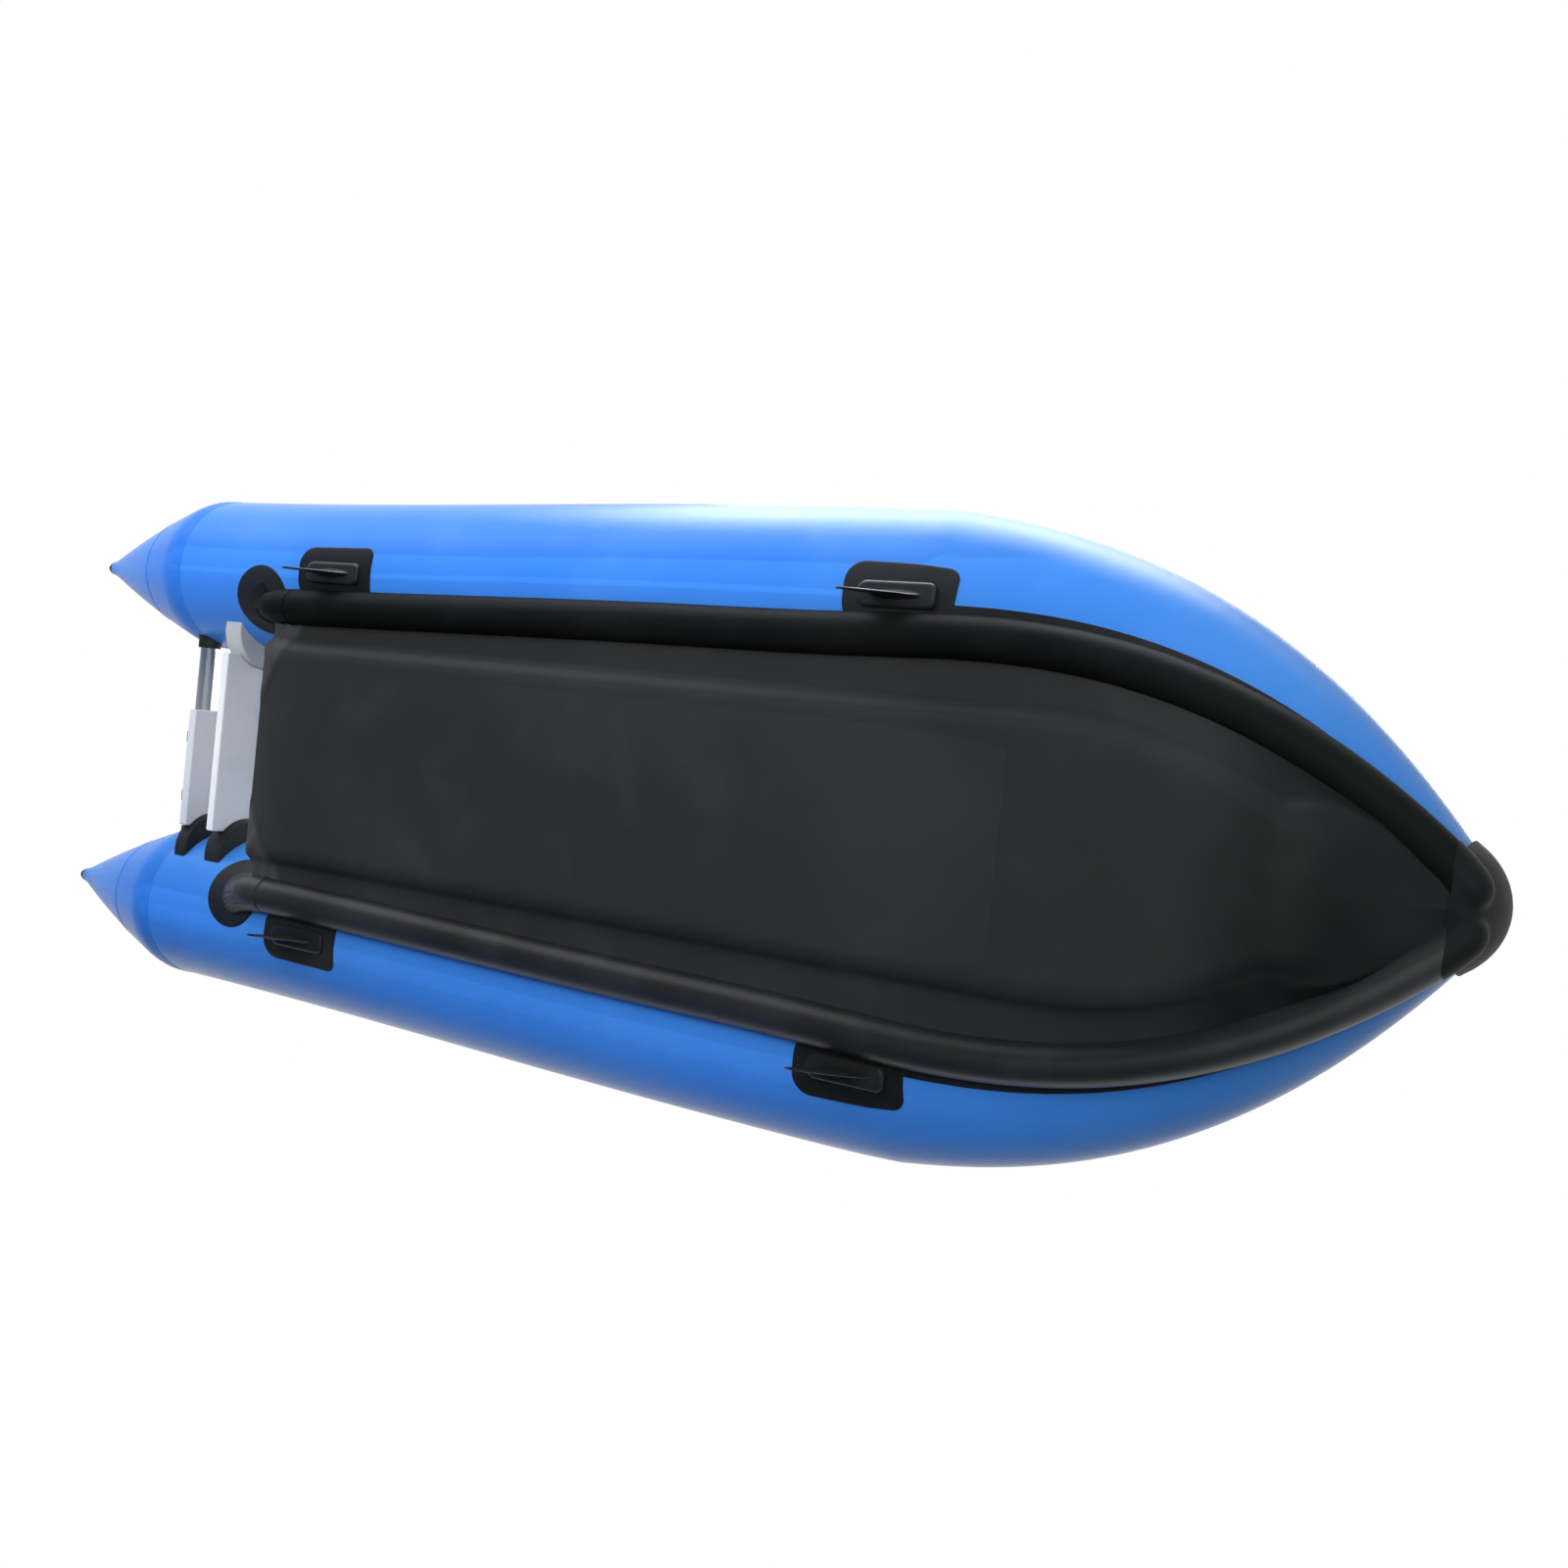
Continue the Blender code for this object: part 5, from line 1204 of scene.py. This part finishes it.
steel_tube_look = polished_steel("steel_tube", 0.10, (700.0, 9.0, 700.0))
tube_gap = STERN_HALF_SPACING - math.sqrt(TUBE_RADIUS ** 2 - CROSS_TUBE_Z ** 2)
socket_face = tube_gap - SOCKET_THICKNESS
cross_at = Vector((STERN_X + CROSS_TUBE_X, 0.0, TUBE_AXIS_HEIGHT + CROSS_TUBE_Z))
half = socket_face + SOCKET_DEPTH
inner = half - CLOSING_STEP
reach = [-inner] + [half * (k / 20 - 1.0) for k in range(1, 40)] + [inner]
path = capped([cross_at + Vector((0.0, y, 0.0)) for y in reach], [CROSS_TUBE_RADIUS] * len(reach),
              [DOWN] * len(reach))
swept("cross_tube_steel", *path, steel_tube_look, sides=72, slot="steel", stands_for=("cross_tube",),
      smooth_angle=60)

# Tube sockets.
# A moulded black rubber cup at each end of the cross tube. The tube is pushed into its bore, and its flared
# foot follows the hull tube's curve, where it is bonded.
SOCKET_BLACK = (0.012, 0.013, 0.013)


def hull_side(x, z, side):
    """How far out the inner side of the hull tube is at a place along the boat and a height."""
    reach = math.sqrt(TUBE_RADIUS ** 2 - (z - TUBE_AXIS_HEIGHT) ** 2)
    return side * (half_spacing(x - STERN_X) - reach)


socket_rubber = moulded("socket_rubber", SOCKET_BLACK, BLACK_WORN, 0.52, 0.35)
for label, side in SIDES:
    bore, rim, face = CROSS_TUBE_RADIUS + GAP, SOCKET_RADIUS, socket_face
    cup = [(bore, face + SOCKET_DEPTH, 0), (bore, face + 0.0012, 0), (bore + 0.0012, face, 0)]
    cup += [(rim - SOCKET_EDGE, face, 0), (rim - 0.0006, face + 0.0006, 0), (rim, face + SOCKET_EDGE, 0)]
    cup += [(rim, -0.0060, 1), (rim, -0.0045, 1), (rim + 0.0008, -0.0022, 1), (rim + SOCKET_FLARE, 0.0006, 1)]
    rows = []
    for radius, out, from_hull in cup:
        row = []
        for turn in around(72):
            x, z = cross_at.x + radius * math.cos(turn), cross_at.z + radius * math.sin(turn)
            row.append(Vector((x, side * out + (hull_side(x, z, side) if from_hull else 0.0), z)))
        rows.append(row)
    piece(label + "_socket", skinned(rows), socket_rubber, slot="moulded_black",
          stands_for=(label + "_tube_socket",), smooth_angle=55)

# Plate clamps.
# Two moulded plastic saddles grip the cross tube and are screwed through their ears to the motor plate with
# stainless socket screws.
CLAMP_WIDTH = 0.024
CLAMP_Y = (0.0, 0.130)
CLAMP_WALL = 0.007
CLAMP_FLANGE = 0.012
CLAMP_EDGE = 0.0012
SCREW_RADIUS = 0.0040
SCREW_HEIGHT = 0.0032
SCREW_PROFILE = ((1.0, 0.0, 0), (1.0, 0.78, 0), (0.90, 1.0, 0), (0.60, 1.0, 1), (0.56, 0.35, 1))
CLAMP_BLACK = (0.014, 0.015, 0.015)


def clamp_outline(inset):
    """The saddle seen from its end: round behind the tube, flat against the plate, with two ears."""
    outer = CROSS_TUBE_RADIUS + CLAMP_WALL - inset
    ear = CROSS_TUBE_RADIUS + CLAMP_WALL + CLAMP_FLANGE - inset
    front = PLATE_X - PLATE_THICKNESS / 2 - GAP - CROSS_TUBE_X - inset
    line = [(front, ear * (k / 8 - 1.0)) for k in range(17)]
    line += [(front * (1.0 - k / 5) + inset * k / 5, ear) for k in range(1, 6)]
    line += [(inset, outer + (ear - outer) * (1.0 - k / 3)) for k in range(1, 3)]
    line += arc((0.0, 0.0), outer, math.pi / 2, math.pi * 1.5, 24)
    line += [(inset, -outer - (ear - outer) * k / 3) for k in range(1, 3)]
    return line + [(inset + (front - inset) * k / 5, -ear) for k in range(5)]


def screw_mesh():
    """Head of a socket screw: a short turned head with a six-sided recess."""
    rows = []
    for share_out, level, six in SCREW_PROFILE:
        row = []
        for k, turn in enumerate(around(12)):
            reach = SCREW_RADIUS * share_out * (math.cos(math.pi / 6) if six and k % 2 else 1.0)
            row.append(Vector((reach * math.cos(turn), reach * math.sin(turn), SCREW_HEIGHT * level)))
        rows.append(row)
    return skinned(rows)


clamp_plastic = moulded("clamp_plastic", CLAMP_BLACK, BLACK_WORN, 0.44, 0.45)
screw_steel = polished_steel("screw_steel", 0.16, (300.0, 300.0, 300.0))
for number, y in enumerate(CLAMP_Y):
    name = "plate_clamp_" + str(number + 1)
    half, edge = CLAMP_WIDTH / 2, CLAMP_EDGE
    across = [(-half, None), (-half, edge), (-half + edge * 0.3, edge * 0.3), (-half + edge, 0.0)]
    across += [(half - edge, 0.0), (half - edge * 0.3, edge * 0.3), (half, edge), (half, None), (-half, None)]
    bore = CROSS_TUBE_RADIUS + GAP
    rows = []
    for out, inset in across:
        line = clamp_outline(inset or 0.0)
        if inset is None:
            turns = [math.atan2(w, u) for u, w in line]
            line = [(bore * math.cos(turn), bore * math.sin(turn)) for turn in turns]
        rows.append([cross_at + Vector((u, y + out, w)) for u, w in line])
    piece(name + "_saddle", skinned(rows, close_ends=False), clamp_plastic, slot="moulded_black",
          stands_for=(name,), smooth_angle=40)
    for tag, way in (("upper", 1), ("lower", -1)):
        ear = CROSS_TUBE_RADIUS + CLAMP_WALL + CLAMP_FLANGE * 0.55
        at = cross_at + Vector((0.0, y, way * ear))
        data = screw_mesh()
        data.transform(Matrix.Translation(at) @ Matrix.Rotation(-math.pi / 2, 4, "Y"))
        piece(name + "_" + tag + "_screw", data, screw_steel, slot="steel", smooth_angle=40)

# Air valves.
# One moulded black valve for each air chamber: a flange welded in the cloth, a collar with a pale spring
# plunger in it, and a ribbed cap with a finger bar that locks with a quarter turn.
VALVE_FLANGE_RADIUS = 0.030
VALVE_FLANGE_HEIGHT = 0.004
VALVE_COLLAR_RADIUS = 0.020
VALVE_COLLAR_HEIGHT = 0.016
VALVE_BORE_RADIUS = 0.0135
VALVE_BORE_DEPTH = 0.0075
VALVE_GUIDE_FLOOR = 0.0014
VALVE_STEM_RADIUS = 0.0035
VALVE_STEM_LENGTH = 0.0063
VALVE_HEAD_RADIUS = 0.0075
VALVE_HEAD_THICKNESS = 0.0025
VALVE_STROKE = 0.004
VALVE_CAP_WALL = 0.0026
VALVE_CAP_TOP = 0.0030
VALVE_WING_SHARE = 0.72
VALVE_WING_THICKNESS = 0.0044
VALVE_WING_HEIGHT = 0.006
VALVE_STATION = 0.620
VALVE_ANGLE = math.pi + math.radians(38.0)
DECK_VALVE_X = 0.060
CAP_RIBS = 30
CAP_RIB_PROUD = 0.0005
VALVE_BLACK = (0.011, 0.012, 0.012)
PLUNGER_PALE, PLUNGER_WORN = (0.70, 0.71, 0.72), (0.60, 0.60, 0.58)


def seat_on_tube(x, side, angle):
    """Frame on the hull tube: X along it, Z straight out of it."""
    along, out = tube_frame(x, side)[1], tube_out(x, side, angle)
    rows = Matrix((along, out.cross(along).normalized(), out)).transposed().to_4x4()
    return Matrix.Translation(on_tube(x, side, angle)) @ rows


def turned(profile, seat, sides=64, foot=None):
    """A profile of radius and height turned about Z. A height of None follows what the foot stands on."""
    rows = []
    for radius, height in profile:
        ring = [(radius * math.cos(turn), radius * math.sin(turn)) for turn in around(sides)]
        rows.append([Vector((u, v, foot(v) if height is None else height)) for u, v in ring])
    data = skinned(rows)
    data.transform(seat)
    return data


def block(low, high, edge, seat):
    """A small block with rounded edges."""
    mesh = bmesh.new()
    bmesh.ops.create_cube(mesh, size=1.0)
    for vertex in mesh.verts:
        vertex.co = Vector([a + (b - a) * (c + 0.5) for a, b, c in zip(low, high, vertex.co)])
    bmesh.ops.bevel(mesh, geom=mesh.edges[:], offset=edge, segments=3, profile=0.5, affect="EDGES")
    data = as_mesh(mesh)
    data.transform(seat)
    return data


def ring_tree():
    """Sets copies of one shape in a ring, each turned to face out of it."""
    flow, given = new_tree("copies_in_a_ring", (
        ("Shape", "Geometry"), ("Copies", "Int"), ("Ring Radius", "Float"), ("Finish", "Material")), "Ring")
    spots = flow.node("GeometryNodeMeshCircle", {}, {
        "Vertices": given["Copies"], "Radius": given["Ring Radius"]})
    turn = flow.node("GeometryNodeInputIndex") * (2 * math.pi) / given["Copies"]
    facing = flow.node("ShaderNodeCombineXYZ", {}, {"Z": turn})
    ring = flow.node("GeometryNodeInstanceOnPoints", {}, {
        "Points": spots, "Instance": given["Shape"], "Rotation": facing})
    return finished(flow, given, "Ring", ring)


RING_OF_COPIES = ring_tree()
valve_plastic = moulded("valve_plastic", VALVE_BLACK, BLACK_WORN, 0.38, 0.45, 0.00006, 1400.0)
pale_plastic = moulded("pale_plastic", PLUNGER_PALE, PLUNGER_WORN, 0.36, 0.45, 0.00005, 1200.0)
deck_top = TUBE_AXIS_HEIGHT + DECK_BOTTOM + GAP + DECK_THICKNESS
valves = [(label, seat_on_tube(VALVE_STATION, side, VALVE_ANGLE),
           lambda v: math.sqrt(TUBE_RADIUS ** 2 - v ** 2) - TUBE_RADIUS - 0.0004) for label, side in SIDES]
deck_seat = Matrix.Translation((STERN_X + DECK_START + DECK_VALVE_X, 0.0, deck_top))
valves.append(("deck", deck_seat, lambda v: 0.0002))
for label, seat, ground in valves:
    flange, collar, bore = VALVE_FLANGE_RADIUS, VALVE_COLLAR_RADIUS, VALVE_BORE_RADIUS
    rim, top, stem = VALVE_FLANGE_HEIGHT, VALVE_COLLAR_HEIGHT, VALVE_STEM_RADIUS
    low, guide = top - VALVE_BORE_DEPTH, stem + GAP
    outline = [(flange - 0.001, None), (flange, None), (flange, rim - 0.0020)]
    outline += [(flange - 0.0006, rim - 0.0006), (flange - 0.0020, rim), (flange - 0.0052, rim)]
    outline += [(flange - 0.0058, rim - 0.0007), (collar + 0.0014, rim - 0.0007), (collar, rim)]
    outline += [(collar, top - 0.0008), (collar - 0.0008, top), (bore + 0.0006, top), (bore, top - 0.0006)]
    outline += [(bore, low + 0.0006), (bore - 0.0006, low), (guide, low), (guide, VALVE_GUIDE_FLOOR)]
    piece(label + "_valve", turned(outline, seat, foot=ground), valve_plastic, slot="moulded_black",
          stands_for=(label + "_valve_body",), smooth_angle=45)

    wide, under = VALVE_HEAD_RADIUS, low + VALVE_STROKE + GAP
    head = under + VALVE_HEAD_THICKNESS
    outline = [(stem - 0.0006, under - VALVE_STEM_LENGTH), (stem, under - 0.0055), (stem, under)]
    outline += [(wide, under), (wide, head - 0.0010), (wide - 0.0003, head - 0.0003)]
    outline += [(wide - 0.0010, head), (0.0034, head), (0.0028, head - 0.0005)]
    piece(label + "_plunger_stem", turned(outline, seat, sides=40), pale_plastic, body=label + "_plunger",
          slot="pale_plastic", stands_for=(label + "_valve_plunger",), smooth_angle=45)

    wall, roof, rim = collar + GAP, top + GAP, rim + GAP
    outer, crown = wall + VALVE_CAP_WALL, roof + VALVE_CAP_TOP
    outline = [(wall - 0.0010, roof), (wall, roof - 0.0010), (wall, rim), (outer - 0.0004, rim)]
    outline += [(outer, rim + 0.0004), (outer, crown - 0.0015), (outer - 0.0005, crown - 0.0005)]
    outline += [(outer - 0.0015, crown), (outer - 0.0042, crown), (outer - 0.0048, crown - 0.0005)]
    cap = {"body": label + "_cap", "slot": "moulded_black"}
    piece(label + "_cap_shell", turned(outline, seat, sides=96), valve_plastic,
          stands_for=(label + "_valve_cap",), smooth_angle=45, **cap)
    span, half = VALVE_WING_SHARE * outer, VALVE_WING_THICKNESS / 2
    bar = block((-span, -half, crown - 0.0015), (span, half, crown + VALVE_WING_HEIGHT), 0.0014, seat)
    piece(label + "_cap_bar", bar, valve_plastic, smooth_angle=60, **cap)
    rib = block((-0.0007, -0.0007, rim + 0.0012), (CAP_RIB_PROUD, 0.0007, crown - 0.0022), 0.00045, Matrix())
    ribs = grown(label + "_cap_ribs", RING_OF_COPIES, rib,
                 {"Copies": CAP_RIBS, "Ring Radius": outer, "Finish": valve_plastic})
    ribs.transform(seat)
    piece(label + "_cap_ribs", ribs, smooth_angle=60, **cap)

# Lashing rings.
# Three steel D-rings on each hull tube, each held by a folded strap of black webbing that is sewn to a round
# patch of coated fabric. The patch is glued to the tube.
RING_STATIONS = (("aft", 0.820), ("middle", 1.500), ("fore", 2.160))
RING_ANGLE = math.pi + math.radians(52.0)
RING_PATCH_RADIUS = 0.048
RING_FORE_SINK = 0.0008
RING_LIFT = 0.0072
RING_WIRE_RADIUS = 0.0028
RING_HALF_WIDTH = 0.020
RING_DEPTH = 0.030
RING_ROUND_POWER = 0.7
STRAP_HALF_WIDTH = 0.0118
STRAP_THICKNESS = 0.0014
STRAP_FOOT = 0.024
STITCH_REACH = (0.0115, 0.0220)
STITCH_HALF = 0.0090
STITCH_PITCH = 0.0032
STITCH_LENGTH = 0.0023
THREAD_RADIUS = 0.00035
STRAP_BLACK, STRAP_WORN = (0.012, 0.013, 0.014), (0.035, 0.037, 0.040)
THREAD_GREY, THREAD_WORN = (0.16, 0.17, 0.18), (0.22, 0.23, 0.24)


def webbing(name, colour, worn):
    """Woven strap: ribs of thick yarn along it, crossed by finer ones."""
    look, flow, shader = new_look(name, colour, 0.75, 0.25)
    thread = flow.node("ShaderNodeUVMap", {"uv_map": "cloth"}).split()
    ribs = (thread["Y"] * (math.pi / 0.0018)).sine()
    yarn = abs(ribs)
    pick = (thread["X"] * (2 * math.pi / 0.0016) + ribs * 3.0).sine()
    fuzz = flow.place().noise(900.0, 3.0)
    pale = fuzz.between(0.45, 0.75) * 0.5 + (1.0 - yarn) * 0.3
    shaded(flow, shader, pale, colour, worn, 0.68 + fuzz * 0.20,
           yarn * 0.0002 + pick * yarn * 0.0001 + fuzz * 0.00005)
    return look


def stitch_tree():
    """Lays short stitches end to end along a path."""
    flow, given = new_tree("stitches_along_path", (
        ("Path", "Geometry"), ("Pitch", "Float"), ("Stitch Length", "Float"), ("Thread Radius", "Float"),
        ("Finish", "Material")), "Stitches")
    path = flow.node("GeometryNodeMeshToCurve", {}, {"Mesh": given["Path"]})
    spots = flow.node("GeometryNodeCurveToPoints", {"mode": "LENGTH"}, {
        "Curve": path, "Length": given["Pitch"]})
    thread = flow.node("GeometryNodeMeshCylinder", {"fill_type": "TRIANGLE_FAN"}, {
        "Vertices": 6, "Side Segments": 1, "Radius": given["Thread Radius"], "Depth": given["Stitch Length"]})
    facing = flow.node("FunctionNodeAlignRotationToVector", {"axis": "Z"}, {"Vector": spots["Tangent"]})
    made = flow.node("GeometryNodeInstanceOnPoints", {}, {
        "Points": spots["Points"], "Instance": thread, "Rotation": facing})
    return finished(flow, given, "Stitches", made)


def out_of_line(line, seat):
    """Directions straight out of a line that is drawn in the seat's upright plane."""
    outs, last = [], len(line) - 1
    for k in range(len(line)):
        (au, aw), (bu, bw) = line[max(k - 1, 0)], line[min(k + 1, last)]
        outs.append((seat.to_3x3() @ Vector((aw - bw, 0.0, bu - au))).normalized())
    return outs


STITCHES = stitch_tree()
strap_look = webbing("black_webbing", STRAP_BLACK, STRAP_WORN)
thread_look = webbing("grey_thread", THREAD_GREY, THREAD_WORN)
ring_steel = polished_steel("ring_steel", 0.14, (240.0, 240.0, 240.0))
loop_radius = RING_WIRE_RADIUS + GAP + STRAP_THICKNESS / 2 + 0.0003
strap_level = SHEET_TOP + STRAP_THICKNESS / 2
strap_line = [(-STRAP_FOOT, strap_level), (-0.0100, strap_level), (-0.0066, strap_level), (-0.0050, 0.0048)]
strap_line += [(loop_radius * math.cos(t), RING_LIFT + loop_radius * math.sin(t))
               for t in (math.pi * (1.0 - k / 8) for k in range(9))]
strap_line += [(-u, w) for u, w in strap_line[3::-1]]
strap_line = smoothed(strap_line, 60)
ring_line = [(0.0, 0.0), (0.5 * RING_HALF_WIDTH, 0.0), (RING_HALF_WIDTH, 0.0)]
for k in range(1, 16):
    turn = math.pi / 2 * (1.0 - k / 8)
    depth = RING_DEPTH * math.cos(turn) ** RING_ROUND_POWER
    ring_line.append((RING_HALF_WIDTH * math.sin(turn), depth))
ring_line += [(-RING_HALF_WIDTH, 0.0), (-0.5 * RING_HALF_WIDTH, 0.0), (0.0, 0.0)]
ring_line = smoothed(ring_line, 81)[:-1]
for label, side in SIDES:
    for spot, x in RING_STATIONS:
        name = label + "_" + spot + "_ring"
        seat = seat_on_tube(x, side, RING_ANGLE)
        sink = RING_FORE_SINK if spot == "fore" else 0.0
        rim = [(inset, lift - sink) for inset, lift in SHEET_RIM]
        laid_sheet(name + "_patch_sheet", disc_outline(RING_PATCH_RADIUS), rim,
                   tube_place(x, side, RING_ANGLE), patch_cloth, slot="black_hull",
                   stands_for=(name + "_patch",))
        points = [seat @ Vector((u, 0.0, w)) for u, w in strap_line]
        swept(name + "_strap", points, [1.0] * len(points), out_of_line(strap_line, seat), strap_look,
              sides=20, height=STRAP_THICKNESS / 2, width=STRAP_HALF_WIDTH, square=0.3,
              girth_length=4 * STRAP_HALF_WIDTH, slot="black_hull")
        for tag, way in (("fore", 1), ("aft", -1)):
            near, far = way * STITCH_REACH[0], way * STITCH_REACH[1]
            run = [(near, -STITCH_HALF), (far, -STITCH_HALF), (far, STITCH_HALF), (near, STITCH_HALF)]
            run = [seat @ Vector((u, v, SHEET_TOP + STRAP_THICKNESS)) for u, v in run + run[:1]]
            data = grown(name + "_stitches", STITCHES, path_mesh(run, [1.0] * 5, [-DOWN] * 5),
                         {"Pitch": STITCH_PITCH, "Stitch Length": STITCH_LENGTH,
                          "Thread Radius": THREAD_RADIUS, "Finish": thread_look})
            piece(name + "_" + tag + "_stitches", data, slot="black_hull")
        points = [seat @ Vector((depth, v, RING_LIFT)) for v, depth in ring_line]
        up = seat.to_3x3() @ Vector((0.0, 0.0, 1.0))
        swept(name + "_wire", points, [RING_WIRE_RADIUS] * len(points), [up] * len(points), ring_steel,
              sides=20, closed=True, body=name, slot="steel", stands_for=(label + "_" + spot + "_d_ring",))

# Carry handles.
# A moulded black rubber grip with finger ribs arches over each hull tube. Its flared feet are bonded to a
# rounded patch of coated fabric, which is glued on top of the tube.
HANDLE_STATION = 1.1596
HANDLE_SPAN = 0.150
HANDLE_RISE = 0.042
HANDLE_SINK = 0.004
HANDLE_GRIP_RADIUS = 0.009
HANDLE_ROUND_POWER = 4
HANDLE_PATCH = (0.215, 0.085, 0.030)
HANDLE_RIBS = 15
HANDLE_RIB_SHARE = 0.05
HANDLE_FLARE_SHARE = 0.55
HANDLE_RIBBED_PART = 0.62
HANDLE_BLACK = (0.012, 0.012, 0.013)

grip_rubber = moulded("grip_rubber", HANDLE_BLACK, BLACK_WORN, 0.50, 0.35, 0.0002, 800.0)
for label, side in SIDES:
    length, width, corner = HANDLE_PATCH
    laid_sheet(label + "_handle_sheet", rounded_outline(length, width, corner, corner), SHEET_RIM,
               tube_place(HANDLE_STATION, side, math.pi), patch_cloth, slot="black_hull",
               stands_for=(label + "_handle_patch",))
    seat = seat_on_tube(HANDLE_STATION, side, math.pi)
    line, girths = [], []
    for k in range(161):
        t = math.sin(math.pi / 2 * (k / 80 - 1.0))
        lift = HANDLE_RISE * (1.0 - abs(t) ** HANDLE_ROUND_POWER) - HANDLE_SINK
        along = t / HANDLE_RIBBED_PART
        rib = HANDLE_RIB_SHARE * math.cos(along * math.pi * HANDLE_RIBS) if abs(along) < 1.0 else 0.0
        flare = HANDLE_FLARE_SHARE * max(1.0 - (lift + HANDLE_SINK) / 0.010, 0.0) ** 2
        line.append((HANDLE_SPAN / 2 * t, lift))
        girths.append(HANDLE_GRIP_RADIUS * (1.0 - HANDLE_RIB_SHARE + rib + flare))
    path = capped([seat @ Vector((u, 0.0, w)) for u, w in line], girths, out_of_line(line, seat))
    swept(label + "_handle", *path, grip_rubber, sides=28, slot="moulded_black",
          stands_for=(label + "_handle_grip",))
